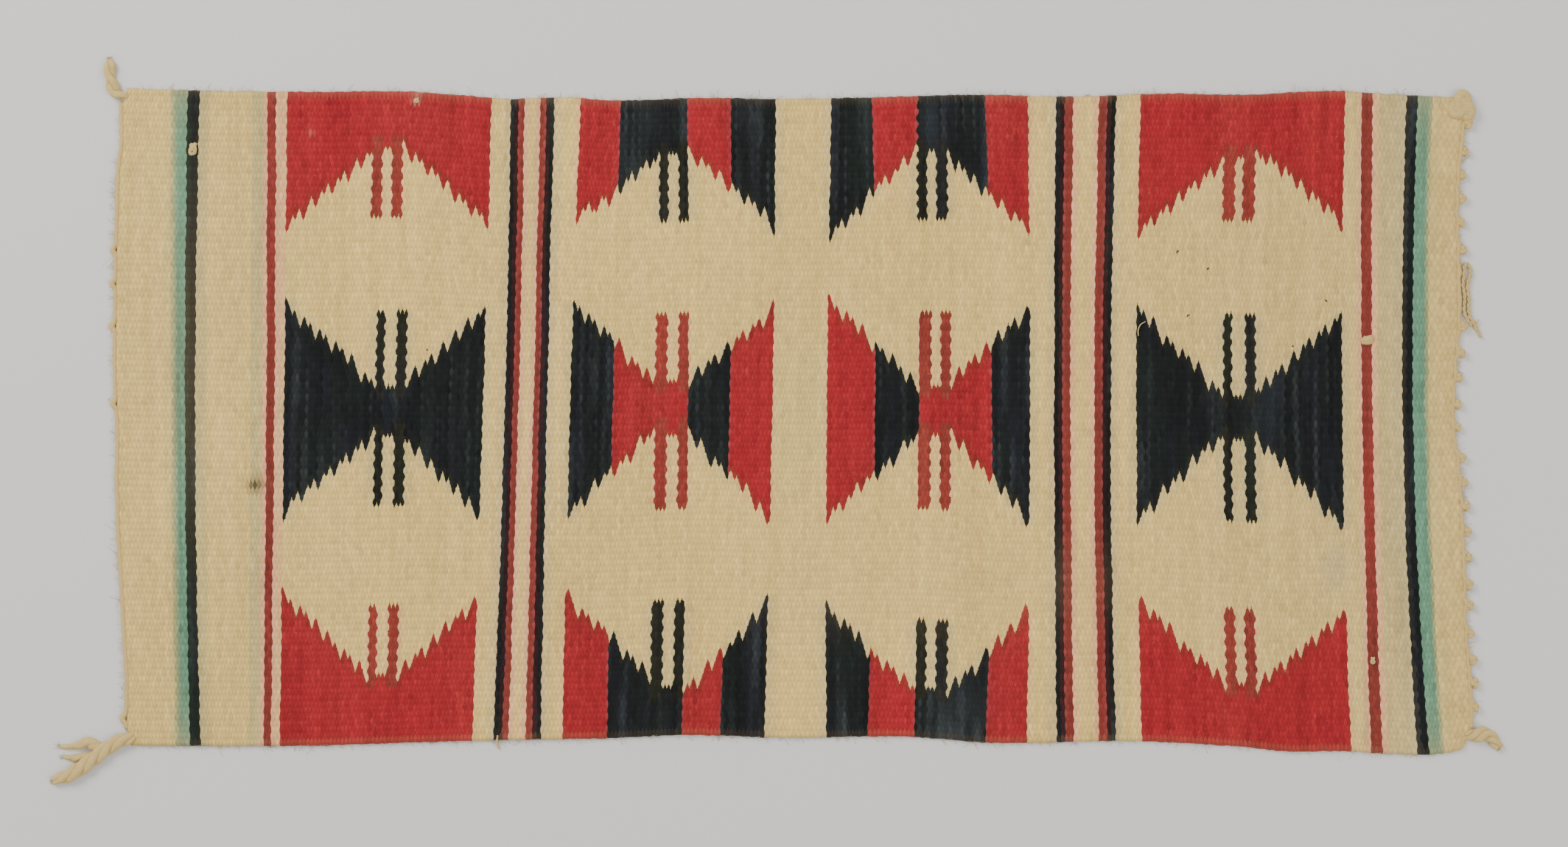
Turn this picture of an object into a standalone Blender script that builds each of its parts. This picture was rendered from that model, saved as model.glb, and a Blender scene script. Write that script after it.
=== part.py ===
"""A small hand-woven wool rug that lies flat: one weft-faced cloth, two end cords and four corner ends.

Metres, +Z up. X runs along the warps, which is the long side, and Y across them. The rug lies on Z = 0,
with the origin under the middle of its whole box. Sizes given in millimetres are multiplied by MM.
"""

import math
from collections import namedtuple

import bmesh
import bpy
import numpy as np

MM = 0.001

# Driving dimensions of the cloth
RUG_LENGTH = 914 * MM
RUG_WIDTH = 437 * MM
RUG_MIDDLE = (9 * MM, 0.5 * MM)
CLOTH_THICKNESS = 3 * MM
CLOTH_EDGE_ROUND = 1.1 * MM
PIECE_GAP = 0.4 * MM
CORNER_CUT_LEFT = 3.5 * MM
CORNER_CUT_RIGHT = 6 * MM
CORNER_CUT_ACROSS = 11 * MM
FIELD_COLUMNS = 30
FIELD_ROWS = 36

# Driving dimensions of the end cords and of the knotted warp ends
CORD_WIDTH = 4.4 * MM
CORD_HEIGHT = 3.7 * MM
CORD_SIDES = 8
CORD_PLIES = 2
TWIST_PITCH = 17.2 * MM
TWIST_DEPTH = 0.16
CORD_STEPS_PER_TURN = 6
KNOT_REACH = 5.0 * MM
KNOT_RISE = 1.3 * MM
KNOT_HALF = 3.4 * MM
KNOT_SHOULDER = 0.75
LOOP_REACH = 2.2 * MM
LOOP_HALF = 2.6 * MM

# Driving dimensions of the corner tails and of the slipped warp end
TAIL_FLATNESS = 0.62
TAIL_SIDES = 12
TAIL_PLIES = 3
TAIL_TWIST_PITCH = 21 * MM
TAIL_TWIST_DEPTH = 0.22
TAIL_STEP = 2.4 * MM
TIP_SHRINK = 0.55
TIP_REACH = 0.35
STRAND_SIDES = 4
STRAND_STEP = 4.0 * MM
CORNER_KNOT_HALF = (5.8 * MM, 8.2 * MM, 3.3 * MM)
CORNER_KNOT_PLACE = (467.1 * MM, 215.6 * MM)
CORNER_KNOT_RIDGE = 0.09
CORNER_KNOT_TURNS = 3
CORNER_KNOT_SLANT = 5.0
CORNER_KNOT_SUNK = 0.92

# How far each edge lies outside the plain rectangle, in millimetres, at places along it
Station = namedtuple("Station", ("along", "out"))

LEFT_EDGE = (
    Station(-206, -5.8), Station(-173, -6.4), Station(-140, -4.4), Station(-107, -2.7),
    Station(-74, -0.7), Station(-41, 0.2), Station(-8, -0.2), Station(25, 1.4),
    Station(75, 1.4), Station(108, 1.0), Station(141, 0.2), Station(174, -1.1),
    Station(190, -3.1), Station(207, -2.7),
)
RIGHT_EDGE = (
    Station(-206, 7.8), Station(-173, 6.1), Station(-140, 3.6), Station(-107, 2.8),
    Station(-74, 1.2), Station(-41, -0.5), Station(-24, -2.1), Station(-8, -4.6),
    Station(9, -5.0), Station(42, -2.9), Station(58, -1.3), Station(108, -1.3),
    Station(141, -2.1), Station(174, -0.9), Station(190, 1.2), Station(207, 2.8),
)
TOP_EDGE = (
    Station(-444, 6.0), Station(-378, 4.0), Station(-312, 3.5), Station(-246, 3.5),
    Station(-212, 1.1), Station(-179, -1.4), Station(-146, -0.2), Station(-113, -2.2),
    Station(-47, -0.6), Station(2, -1.4), Station(68, -0.2), Station(134, 1.5),
    Station(200, 0.2), Station(266, 2.3), Station(316, 1.5), Station(382, 4.0),
    Station(415, 1.9), Station(465, -0.5),
)
BOTTOM_EDGE = (
    Station(-433, 1.7), Station(-378, 2.1), Station(-312, 1.7), Station(-246, -0.4),
    Station(-179, -2.1), Station(-113, -3.3), Station(-64, -5.4), Station(2, -3.7),
    Station(101, -3.7), Station(134, -0.8), Station(250, -1.2), Station(283, 0.4),
    Station(316, 2.5), Station(349, 5.8), Station(382, 5.4), Station(415, 7.2),
    Station(448, 7.4), Station(465, 4.1), Station(474, -0.8),
)

# The knotted warp ends: one in every four warps, each shifted a little, two of them slipped open
KNOT_COUNT = 24
FIRST_KNOT = 201.5 * MM
SLIPPED_KNOTS = (6, 7)
KNOT_SHIFTS = (0, 2.2, 0.7, -0.7, -1.4, 0, 0, 0, 0, 1.1, 0.4, 1.0,
               -0.5, 3.0, 2.7, 1.2, 1.4, 2.0, 2.6, -0.2, 1.7, 2.2, 0.7, 0)

# Warp loops that stand out of the other end, by their place across the rug in millimetres
LOOP_PLACES = (115.6, 92.9, 64.0, 11.6, -201.5)

# Where each end cord begins and stops, in millimetres across the rug
LEFT_CORD_SPAN = (-208.4, 215.2)
RIGHT_CORD_SPAN = (-207.8, 206.2)

# Routes in millimetres: x, y and the half width of the yarn there
Place = namedtuple("Place", ("x", "y", "half"))

TOP_LEFT_TAIL = (
    Place(-439.8, 219.5, 3.9), Place(-443.8, 220.3, 4.1), Place(-448.0, 223.3, 4.2),
    Place(-449.7, 227.6, 4.2), Place(-450.8, 231.8, 4.4), Place(-451.4, 237.0, 3.8),
    Place(-451.2, 241.4, 3.9), Place(-451.4, 244.4, 2.8),
)
TOP_LEFT_WISP = (Place(-451.6, 240.0, 1.3), Place(-452.6, 243.6, 1.3), Place(-453.4, 246.5, 0.8))

BOTTOM_LEFT_TASSEL = (
    Place(-436.4, -214.4, 4.6), Place(-443.7, -216.5, 5.0), Place(-449.8, -219.7, 4.9),
    Place(-455.2, -223.4, 5.3), Place(-460.8, -227.5, 5.5), Place(-466.5, -232.0, 5.5),
    Place(-472.1, -236.2, 5.4), Place(-478.3, -239.8, 5.0), Place(-484.4, -242.4, 4.2),
    Place(-491.0, -244.3, 2.8),
)
UPPER_LOCK = (
    Place(-456.0, -222.0, 3.0), Place(-461.2, -219.8, 4.4), Place(-466.4, -217.6, 4.3),
    Place(-471.5, -219.6, 2.4), Place(-478.5, -220.8, 1.8), Place(-485.6, -220.9, 1.1),
)
LOWER_LOCK = (
    Place(-463.0, -226.6, 2.2), Place(-469.2, -227.4, 2.3), Place(-475.6, -228.6, 2.4),
    Place(-482.6, -227.8, 1.1),
)
BOTTOM_RIGHT_TAIL = (
    Place(469.7, -213.2, 4.0), Place(474.2, -212.8, 4.7), Place(478.2, -212.2, 5.0),
    Place(481.8, -212.4, 4.6), Place(485.2, -214.6, 4.0), Place(487.7, -218.0, 3.6),
    Place(490.15, -221.45, 3.3),
)
SLIPPED_WARP_END = (
    Place(478.0, 56.4, 0.7), Place(474.9, 62.2, 1.0), Place(471.7, 68.5, 1.0),
    Place(470.1, 74.9, 1.0), Place(469.5, 81.2, 1.0), Place(469.1, 88.6, 1.0),
    Place(469.8, 93.8, 1.0), Place(470.6, 98.4, 1.0), Place(470.2, 103.2, 1.0),
    Place(468.4, 106.4, 1.0), Place(466.5, 104.6, 1.0), Place(466.1, 100.6, 1.0),
    Place(466.2, 96.0, 1.0), Place(466.4, 90.6, 1.0), Place(466.5, 85.0, 1.0),
    Place(466.4, 79.6, 1.0), Place(467.2, 74.2, 1.0), Place(469.3, 68.2, 0.9),
    Place(471.7, 63.4, 0.6),
)


def clear_scene():
    """Remove what the file opened with."""
    for old in list(bpy.data.objects):
        bpy.data.objects.remove(old, do_unlink=True)


def wool(name, colour, roughness=0.95):
    """A plain matt fabric material."""
    material = bpy.data.materials.new(name)
    material.use_nodes = True
    shader = material.node_tree.nodes["Principled BSDF"]
    shader.inputs["Base Color"].default_value = (*colour, 1.0)
    shader.inputs["Roughness"].default_value = roughness
    shader.inputs["Metallic"].default_value = 0.0
    return material


def make_object(name, bm, material):
    """Turn a finished bmesh into a named object with one material."""
    bmesh.ops.recalc_face_normals(bm, faces=bm.faces)
    mesh = bpy.data.meshes.new(name)
    bm.to_mesh(mesh)
    bm.free()
    piece = bpy.data.objects.new(name, mesh)
    piece.data.materials.append(material)
    bpy.context.scene.collection.objects.link(piece)
    return piece


def smooth_between(places, values, at):
    """Value of a smooth curve through (places, values), held level past both ends."""
    at = min(max(at, places[0]), places[-1])
    slopes = np.gradient(values, places)
    k = int(np.clip(np.searchsorted(places, at) - 1, 0, len(places) - 2))
    step = places[k + 1] - places[k]
    t = (at - places[k]) / step
    start = values[k] * (1 + 2 * t) * (1 - t) ** 2 + slopes[k] * step * t * (1 - t) ** 2
    end = values[k + 1] * t * t * (3 - 2 * t) - slopes[k + 1] * step * t * t * (1 - t)
    return start + end


def edge_offset(stations, at):
    """How far an edge lies outside the plain rectangle at a place along it, both in metres."""
    places = np.array([station.along for station in stations])
    offsets = np.array([station.out for station in stations])
    return smooth_between(places, offsets, at / MM) * MM


def left_x(y):
    return RUG_MIDDLE[0] - RUG_LENGTH / 2 - edge_offset(LEFT_EDGE, y)


def right_x(y):
    return RUG_MIDDLE[0] + RUG_LENGTH / 2 + edge_offset(RIGHT_EDGE, y)


def top_y(x):
    return RUG_MIDDLE[1] + RUG_WIDTH / 2 + edge_offset(TOP_EDGE, x)


def bottom_y(x):
    return RUG_MIDDLE[1] - RUG_WIDTH / 2 - edge_offset(BOTTOM_EDGE, x)


def grid_fractions(count, first_cut, last_cut, length):
    """Even steps from 0 to 1, with a first and a last step as long as the corner cuts."""
    inner = np.linspace(first_cut / length, 1 - last_cut / length, count - 1)
    return np.concatenate(([0.0], inner, [1.0]))


def field_point(u, v):
    """Plan position in the cloth, for fractions along and across it."""
    inset = CORD_WIDTH + PIECE_GAP
    plain_x = RUG_MIDDLE[0] + (u - 0.5) * RUG_LENGTH
    y = (1 - v) * bottom_y(plain_x) + v * top_y(plain_x)
    x = (1 - u) * (left_x(y) + inset) + u * (right_x(y) - inset)
    return x, y


def field_plan():
    """Grid of plan positions, with its four corners drawn in to a cut corner."""
    along = grid_fractions(FIELD_COLUMNS, CORNER_CUT_LEFT, CORNER_CUT_RIGHT, RUG_LENGTH)
    across = grid_fractions(FIELD_ROWS, CORNER_CUT_ACROSS, CORNER_CUT_ACROSS, RUG_WIDTH)
    plan = np.array([[field_point(u, v) for u in along] for v in across])
    for row, next_row in ((0, 1), (-1, -2)):
        for column, next_column in ((0, 1), (-1, -2)):
            plan[row, column] = (plan[next_row, column] + plan[row, next_column]) / 2
    return plan


def build_field(material):
    """The woven cloth: one flat slab with the uneven outline and softly rounded edges."""
    plan = field_plan()
    rows, columns = plan.shape[:2]
    bm = bmesh.new()
    layers = []
    for height in (0.0, CLOTH_THICKNESS):
        layers.append([[bm.verts.new((x, y, height)) for x, y in row] for row in plan])
    for layer in layers:
        for j in range(rows - 1):
            for i in range(columns - 1):
                bm.faces.new((layer[j][i], layer[j][i + 1], layer[j + 1][i + 1], layer[j + 1][i]))
    rim = [(0, i) for i in range(columns - 1)]
    rim += [(j, columns - 1) for j in range(rows - 1)]
    rim += [(rows - 1, i) for i in range(columns - 1, 0, -1)]
    rim += [(j, 0) for j in range(rows - 1, 0, -1)]
    for here, there in zip(rim, rim[1:] + rim[:1]):
        low, high = layers
        wall = (low[here[0]][here[1]], low[there[0]][there[1]],
                high[there[0]][there[1]], high[here[0]][here[1]])
        bm.faces.new(wall)
    field = make_object("woven_field", bm, material)
    bevel = field.modifiers.new("rounded edge", "BEVEL")
    bevel.width = CLOTH_EDGE_ROUND
    bevel.segments = 2
    bevel.limit_method = "ANGLE"
    bevel.angle_limit = math.radians(60)


def skin(bm, rings):
    """Closed tube through rings of equal point counts, with a flat fan at each end."""
    loops = [[bm.verts.new(point) for point in ring] for ring in rings]
    count = len(loops[0])
    for here, there in zip(loops, loops[1:]):
        for k in range(count):
            nxt = (k + 1) % count
            bm.faces.new((here[k], here[nxt], there[nxt], there[k]))
    for loop in (loops[0], loops[-1]):
        centre = sum((vert.co for vert in loop), loop[0].co * 0) / count
        hub = bm.verts.new(centre)
        for k in range(count):
            bm.faces.new((hub, loop[k], loop[(k + 1) % count]))


def plied(angle, turn, depth, plies):
    """Radius factor of a rope of some plies, at an angle round it, turned along its length."""
    return 1 - depth * (0.5 - 0.5 * math.cos(plies * (angle - turn)))


def bump(distance, half):
    """Round hill of height 1 that is gone a little past half on each side."""
    return math.exp(-(distance / half) ** 2)


def cord_ring(y, middle_x, outward, reach, rise):
    """Section of an end cord: two plies, pushed outward and up where a knot or a loop stands."""
    half_width = CORD_WIDTH / 2
    half_height = CORD_HEIGHT / 2
    turn = 2 * math.pi * y / TWIST_PITCH
    ring = []
    for k in range(CORD_SIDES):
        angle = 2 * math.pi * k / CORD_SIDES
        radius = plied(angle, turn, TWIST_DEPTH, CORD_PLIES)
        side = radius * math.cos(angle)
        up = radius * math.sin(angle)
        push = reach * max(side, 0.0)
        x = middle_x + outward * (half_width * side + push)
        z = half_height * (1 + up) + rise * max(up, 0.0)
        ring.append((x, y, max(z, 0.0)))
    return ring


def knot_places():
    """Places across the rug of the knots that still stand."""
    places = []
    for k in range(KNOT_COUNT):
        if k not in SLIPPED_KNOTS:
            places.append(FIRST_KNOT - k * TWIST_PITCH - KNOT_SHIFTS[k] * MM)
    return places


def cord_steps(span, knots):
    """Places of a cord's sections: even steps, with three at each knot in place of the near ones."""
    step = TWIST_PITCH / CORD_STEPS_PER_TURN
    start, stop = span[0] * MM, span[1] * MM
    even = np.linspace(start, stop, round((stop - start) / step) + 1)
    shoulder = KNOT_SHOULDER * KNOT_HALF
    at_knots = [knot + shift for knot in knots for shift in (-shoulder, 0.0, shoulder)]
    clear = [y for y in even if all(abs(y - other) > step / 2 for other in at_knots)]
    return sorted(clear + at_knots)


def build_cord(name, edge_x, outward, span, knots, reach, rise, half, material):
    """One end cord along the cloth's end, with a knot or a loop raised at each given place."""
    rings = []
    for y in cord_steps(span, knots):
        swell = max(bump(y - knot, half) for knot in knots)
        middle = edge_x(y) - outward * CORD_WIDTH / 2
        rings.append(cord_ring(y, middle, outward, reach * swell, rise * swell))
    bm = bmesh.new()
    skin(bm, rings)
    cord = make_object(name, bm, material)
    cord.data.shade_smooth()


def route_rings(route, sides, step, twist_depth):
    """Sections along a route on the floor, each an oval of yarn that rests on Z = 0."""
    xs = np.array([place.x for place in route]) * MM
    ys = np.array([place.y for place in route]) * MM
    halves = np.array([place.half for place in route]) * MM / math.cos(math.pi / sides)
    along = np.concatenate(([0.0], np.cumsum(np.hypot(np.diff(xs), np.diff(ys)))))
    count = max(3, round(along[-1] / step) + 1)
    rings = []
    for s in np.linspace(0, along[-1], count):
        x, y, half = (smooth_between(along, values, s) for values in (xs, ys, halves))
        ahead = min(s + step / 4, along[-1])
        behind = max(s - step / 4, 0.0)
        run_x = smooth_between(along, xs, ahead) - smooth_between(along, xs, behind)
        run_y = smooth_between(along, ys, ahead) - smooth_between(along, ys, behind)
        run = math.hypot(run_x, run_y)
        across = (-run_y / run, run_x / run)
        half_height = half * TAIL_FLATNESS
        turn = 2 * math.pi * s / TAIL_TWIST_PITCH
        ring = []
        for k in range(sides):
            angle = 2 * math.pi * (k + 0.5) / sides
            radius = plied(angle, turn, twist_depth, TAIL_PLIES)
            side = half * radius * math.cos(angle)
            up = half_height * (1 + radius * math.sin(angle))
            ring.append((x + across[0] * side, y + across[1] * side, up))
        rings.append(ring)
    return rest_on_floor(rings)


def rest_on_floor(rings):
    """Lower each section until it just rests on the floor."""
    rested = []
    for ring in rings:
        low = min(z for x, y, z in ring)
        rested.append([(x, y, z - low) for x, y, z in ring])
    return rested


def rounded_tip(rings):
    """Add a smaller section past the last one, so that the yarn ends round and not cut off."""
    last, before = rings[-1], rings[-2]
    centre = np.mean(last, axis=0)
    run = centre - np.mean(before, axis=0)
    reach = run / np.linalg.norm(run) * (max(z for x, y, z in last) * TIP_REACH)
    tip = []
    for point in last:
        shrunk = centre + (np.array(point) - centre) * TIP_SHRINK + reach
        tip.append((shrunk[0], shrunk[1], max(shrunk[2], 0.0)))
    return rings + [tip]


def build_route(name, route, sides, step, twist_depth, material):
    """One tail, lock or thread along its route."""
    bm = bmesh.new()
    skin(bm, rounded_tip(route_rings(route, sides, step, twist_depth)))
    piece = make_object(name, bm, material)
    if sides > STRAND_SIDES:
        piece.data.shade_smooth()
    return piece


def fuse(head, locks):
    """Fuse thin locks into a thicker end at their roots; the locks stay behind as hidden guides."""
    for lock in locks:
        union = head.modifiers.new("fused " + lock.name, "BOOLEAN")
        union.operation = "UNION"
        union.solver = "EXACT"
        union.object = lock
        lock.hide_render = True
        lock.display_type = "WIRE"


def build_corner_knot(material):
    """The tied corner: a flattened lump of yarn with turns that run round it, resting on the floor."""
    half_x, half_y, half_z = CORNER_KNOT_HALF
    bm = bmesh.new()
    bmesh.ops.create_uvsphere(bm, u_segments=14, v_segments=9, radius=1.0)
    for vert in bm.verts:
        round_angle = math.atan2(vert.co.y, vert.co.x)
        wave = math.cos(CORNER_KNOT_TURNS * round_angle + CORNER_KNOT_SLANT * vert.co.z)
        ridge = 1 + CORNER_KNOT_RIDGE * wave
        x = CORNER_KNOT_PLACE[0] + vert.co.x * ridge * half_x
        y = CORNER_KNOT_PLACE[1] + vert.co.y * ridge * half_y
        z = half_z * (CORNER_KNOT_SUNK + vert.co.z * (1 + (ridge - 1) / 2))
        vert.co = (x, y, max(z, 0.0))
    knot = make_object("corner_knot", bm, material)
    knot.data.shade_smooth()


def build_rug():
    clear_scene()
    cream = wool("cream wool", (0.56, 0.44, 0.24))
    warp_cotton = wool("undyed warp yarn", (0.52, 0.44, 0.30))
    build_field(cream)
    loops = [place * MM for place in LOOP_PLACES]
    build_cord("left_end_cord", left_x, -1, LEFT_CORD_SPAN, loops,
               LOOP_REACH, 0.0, LOOP_HALF, warp_cotton)
    build_cord("right_end_cord", right_x, 1, RIGHT_CORD_SPAN, knot_places(),
               KNOT_REACH, KNOT_RISE, KNOT_HALF, warp_cotton)
    top_tail = build_route("top_left_tail", TOP_LEFT_TAIL, TAIL_SIDES, TAIL_STEP,
                           TAIL_TWIST_DEPTH, warp_cotton)
    wisp = build_route("wisp", TOP_LEFT_WISP, STRAND_SIDES, STRAND_STEP, 0.0, warp_cotton)
    fuse(top_tail, [wisp])
    tassel = build_route("bottom_left_tassel", BOTTOM_LEFT_TASSEL, TAIL_SIDES, TAIL_STEP,
                         TAIL_TWIST_DEPTH, warp_cotton)
    locks = []
    for name, route in (("upper lock", UPPER_LOCK), ("lower lock", LOWER_LOCK)):
        locks.append(build_route(name, route, STRAND_SIDES, STRAND_STEP, 0.0, warp_cotton))
    fuse(tassel, locks)
    build_route("bottom_right_tail", BOTTOM_RIGHT_TAIL, TAIL_SIDES, TAIL_STEP,
                TAIL_TWIST_DEPTH, warp_cotton)
    build_route("slipped_warp_end", SLIPPED_WARP_END, STRAND_SIDES, STRAND_STEP, 0.0, warp_cotton)
    build_corner_knot(warp_cotton)


build_rug()
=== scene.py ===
import math

import bpy
import numpy as np
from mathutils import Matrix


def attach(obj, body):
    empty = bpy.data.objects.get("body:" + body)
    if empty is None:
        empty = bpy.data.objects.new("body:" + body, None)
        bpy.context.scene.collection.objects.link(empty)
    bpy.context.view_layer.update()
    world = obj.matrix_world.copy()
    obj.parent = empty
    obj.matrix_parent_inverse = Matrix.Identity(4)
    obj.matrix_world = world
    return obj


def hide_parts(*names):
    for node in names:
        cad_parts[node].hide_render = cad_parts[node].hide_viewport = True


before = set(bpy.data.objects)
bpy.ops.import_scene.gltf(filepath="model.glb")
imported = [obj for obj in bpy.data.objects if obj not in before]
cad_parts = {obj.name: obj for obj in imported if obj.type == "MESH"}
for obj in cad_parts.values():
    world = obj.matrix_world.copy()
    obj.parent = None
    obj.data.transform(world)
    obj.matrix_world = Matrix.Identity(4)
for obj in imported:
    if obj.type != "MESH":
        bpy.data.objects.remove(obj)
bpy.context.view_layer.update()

for thing in bpy.context.selected_objects:
    thing.select_set(False)


# The outline of the cloth
# A small rug comes off its loom a little uneven: the selvages draw in and bulge, and the ends lean.
# The edges are the same as in the solid, in millimetres outside the plain rectangle of the cloth.
MM = 0.001
CLOTH_LENGTH = 914 * MM
CLOTH_WIDTH = 437 * MM
CLOTH_MIDDLE = (9 * MM, 0.5 * MM)
CORD_ROOM = 2.3 * MM
CORNER_CUTS = (3.5 * MM, 6 * MM)
CORNER_CUT_ACROSS = 11 * MM

LEFT_EDGE = (
    (-206, -5.8), (-173, -6.4), (-140, -4.4), (-107, -2.7), (-74, -0.7), (-41, 0.2), (-8, -0.2),
    (25, 1.4), (75, 1.4), (108, 1.0), (141, 0.2), (174, -1.1), (190, -3.1), (207, -2.7),
)
RIGHT_EDGE = (
    (-206, 7.8), (-173, 6.1), (-140, 3.6), (-107, 2.8), (-74, 1.2), (-41, -0.5), (-24, -2.1),
    (-8, -4.6), (9, -5.0), (42, -2.9), (58, -1.3), (108, -1.3), (141, -2.1), (174, -0.9),
    (190, 1.2), (207, 2.8),
)
TOP_EDGE = (
    (-444, 6.0), (-378, 4.0), (-312, 3.5), (-246, 3.5), (-212, 1.1), (-179, -1.4), (-146, -0.2),
    (-113, -2.2), (-47, -0.6), (2, -1.4), (68, -0.2), (134, 1.5), (200, 0.2), (266, 2.3),
    (316, 1.5), (382, 4.0), (415, 1.9), (465, -0.5),
)
BOTTOM_EDGE = (
    (-433, 1.7), (-378, 2.1), (-312, 1.7), (-246, -0.4), (-179, -2.1), (-113, -3.3), (-64, -5.4),
    (2, -3.7), (101, -3.7), (134, -0.8), (250, -1.2), (283, 0.4), (316, 2.5), (349, 5.8),
    (382, 5.4), (415, 7.2), (448, 7.4), (465, 4.1), (474, -0.8),
)


def smooth_between(places, values, at):
    """Smooth curve through values at places, read at one place or at many."""
    slopes = np.gradient(values, places)
    at = np.clip(at, places[0], places[-1])
    i = np.clip(np.searchsorted(places, at) - 1, 0, len(places) - 2)
    step = places[i + 1] - places[i]
    t = (at - places[i]) / step
    start = (2 * t**3 - 3 * t**2 + 1) * values[i] + (t**3 - 2 * t**2 + t) * step * slopes[i]
    stop = (3 * t**2 - 2 * t**3) * values[i + 1] + (t**3 - t**2) * step * slopes[i + 1]
    return start + stop


def edge_offset(edge, at):
    places, values = np.array(edge, float).T * MM
    return smooth_between(places, values, at)


def left_x(y):
    return CLOTH_MIDDLE[0] - CLOTH_LENGTH / 2 - edge_offset(LEFT_EDGE, y)


def right_x(y):
    return CLOTH_MIDDLE[0] + CLOTH_LENGTH / 2 + edge_offset(RIGHT_EDGE, y)


def top_y(x):
    return CLOTH_MIDDLE[1] + CLOTH_WIDTH / 2 + edge_offset(TOP_EDGE, x)


def bottom_y(x):
    return CLOTH_MIDDLE[1] - CLOTH_WIDTH / 2 - edge_offset(BOTTOM_EDGE, x)


# The lie of the wefts and warps
# 104 warps run the long way and 672 picks of weft cross them. The picks were not beaten down evenly,
# so the stripes lean: each line below is a pick, and its place near the top, middle and bottom in mm.
WARPS = 104
PICKS = 672
WEFT_LINE_HEIGHTS = (205 * MM, 0.0, -200 * MM)
WEFT_LINES = (
    (26, -409.4, -409.0, -406.5), (37, -391.2, -394.1, -390.8), (74, -343.7, -344.5, -346.2),
    (83, -330.3, -332.6, -335.1), (183, -192.2, -198.0, -204.6), (194, -179.0, -183.1, -190.1),
    (216, -149.7, -154.6, -158.3), (227, -131.9, -138.9, -143.5), (249, -104.7, -110.0, -113.3),
    (288, -59.2, -58.8, -63.0), (308, -29.5, -30.8, -36.5), (330, 0.6, -1.9, -6.8),
    (358, 38.2, 35.3, 34.9), (382, 65.9, 67.9, 63.0), (404, 98.1, 97.6, 94.8),
    (441, 142.7, 147.2, 143.5), (460, 171.6, 172.8, 171.1), (473, 190.5, 189.3, 191.0),
    (501, 231.0, 227.7, 230.6), (514, 247.5, 245.0, 248.3), (618, 386.2, 384.6, 389.6),
    (629, 397.4, 398.2, 403.2), (654, 435.4, 432.5, 441.6), (662, 445.3, 442.8, 451.5),
)

# Rough places of the first and the last pick, and how far a yarn wanders along and across the cloth
END_PICKS = (-443.5 * MM, 456.5 * MM)
WANDER_ALONG = 0.36 * MM
WANDER_ACROSS = 0.22 * MM


def soft_noise(rows, columns, row_cells, column_cells, seed):
    """Smooth seeded noise from -1 to 1 on a grid, with the given number of cells each way."""
    coarse = np.random.default_rng(seed).uniform(-1, 1, (row_cells + 2, column_cells + 2))
    down = np.linspace(0, row_cells, rows)
    along = np.linspace(0, column_cells, columns)
    i = down.astype(int)
    j = along.astype(int)
    s = ((down - i) ** 2 * (3 - 2 * (down - i)))[:, None]
    t = ((along - j) ** 2 * (3 - 2 * (along - j)))[None, :]
    upper = coarse[i][:, j] * (1 - t) + coarse[i][:, j + 1] * t
    lower = coarse[i + 1][:, j] * (1 - t) + coarse[i + 1][:, j + 1] * t
    return upper * (1 - s) + lower * s


def cloth_plan(rows_per_warp):
    """Places of every pick on every row, from the top selvage down to the bottom one."""
    rows = WARPS * rows_per_warp + 1
    picks = np.arange(PICKS + 1)
    lines = np.array(WEFT_LINES, float)
    knots = np.concatenate(([0], lines[:, 0], [PICKS]))
    middles = np.concatenate(([END_PICKS[0]], lines[:, 2] * MM, [END_PICKS[1]]))
    rough_x = np.interp(picks, knots, middles)[None, :]
    down = np.linspace(0, 1, rows)[:, None]
    y = top_y(rough_x) + down * (bottom_y(rough_x) - top_y(rough_x))
    x = np.empty_like(y)
    for row in range(rows):
        at = y[row, lines[:, 0].astype(int)]
        places = np.zeros(len(lines))
        for k, height in enumerate(WEFT_LINE_HEIGHTS):
            first, second = (other for other in WEFT_LINE_HEIGHTS if other != height)
            weight = (at - first) * (at - second) / ((height - first) * (height - second))
            places += lines[:, k + 1] * weight
        depth = min(y[row, 0] - y[-1, 0], y[0, 0] - y[row, 0]) / CORNER_CUT_ACROSS
        cut = max(0.0, 1 - depth)
        start = left_x(y[row, 0]) + CORD_ROOM + cut * CORNER_CUTS[0]
        stop = right_x(y[row, -1]) - CORD_ROOM - cut * CORNER_CUTS[1]
        x[row] = np.interp(picks, knots, np.concatenate(([start], places * MM, [stop])))
    y = top_y(x[0]) + down * (bottom_y(x[-1]) - top_y(x[0]))
    inner = np.minimum(picks, PICKS - picks)[None, :] / 10.0
    calm = np.clip(inner, 0, 1) * np.clip(np.minimum(down, 1 - down) * 30, 0, 1)
    x += WANDER_ALONG * calm * soft_noise(rows, PICKS + 1, 24, 60, 11)
    y += WANDER_ACROSS * calm * soft_noise(rows, PICKS + 1, 30, 90, 12)
    return x, y


# The chart of the weave
# The weaver counts wefts and warps: stripes of plain colour, and four columns of stepped hourglasses,
# cut off at both selvages. Each has two bars through its waist and six stepped teeth on each slope.
CREAM, RED, BLACK, TEAL, MAROON, BRICK, GREY, BAR_RED, BAR_BLACK = range(9)
STRIPES = (
    (26, 33, TEAL), (33, 38, BLACK), (66, 72, GREY), (74, 78, BRICK),
    (194, 196, BLACK), (196, 198, MAROON), (198, 201, BRICK),
    (209, 212, BRICK), (212, 214, MAROON), (214, 216, BLACK),
    (473, 475, BLACK), (475, 477, MAROON), (477, 481, BRICK),
    (493, 497, BRICK), (497, 499, MAROON), (499, 501, BLACK),
    (629, 634, BRICK), (637, 647, GREY), (649, 654, BLACK), (654, 662, TEAL),
)
TEETH = 6

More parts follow.
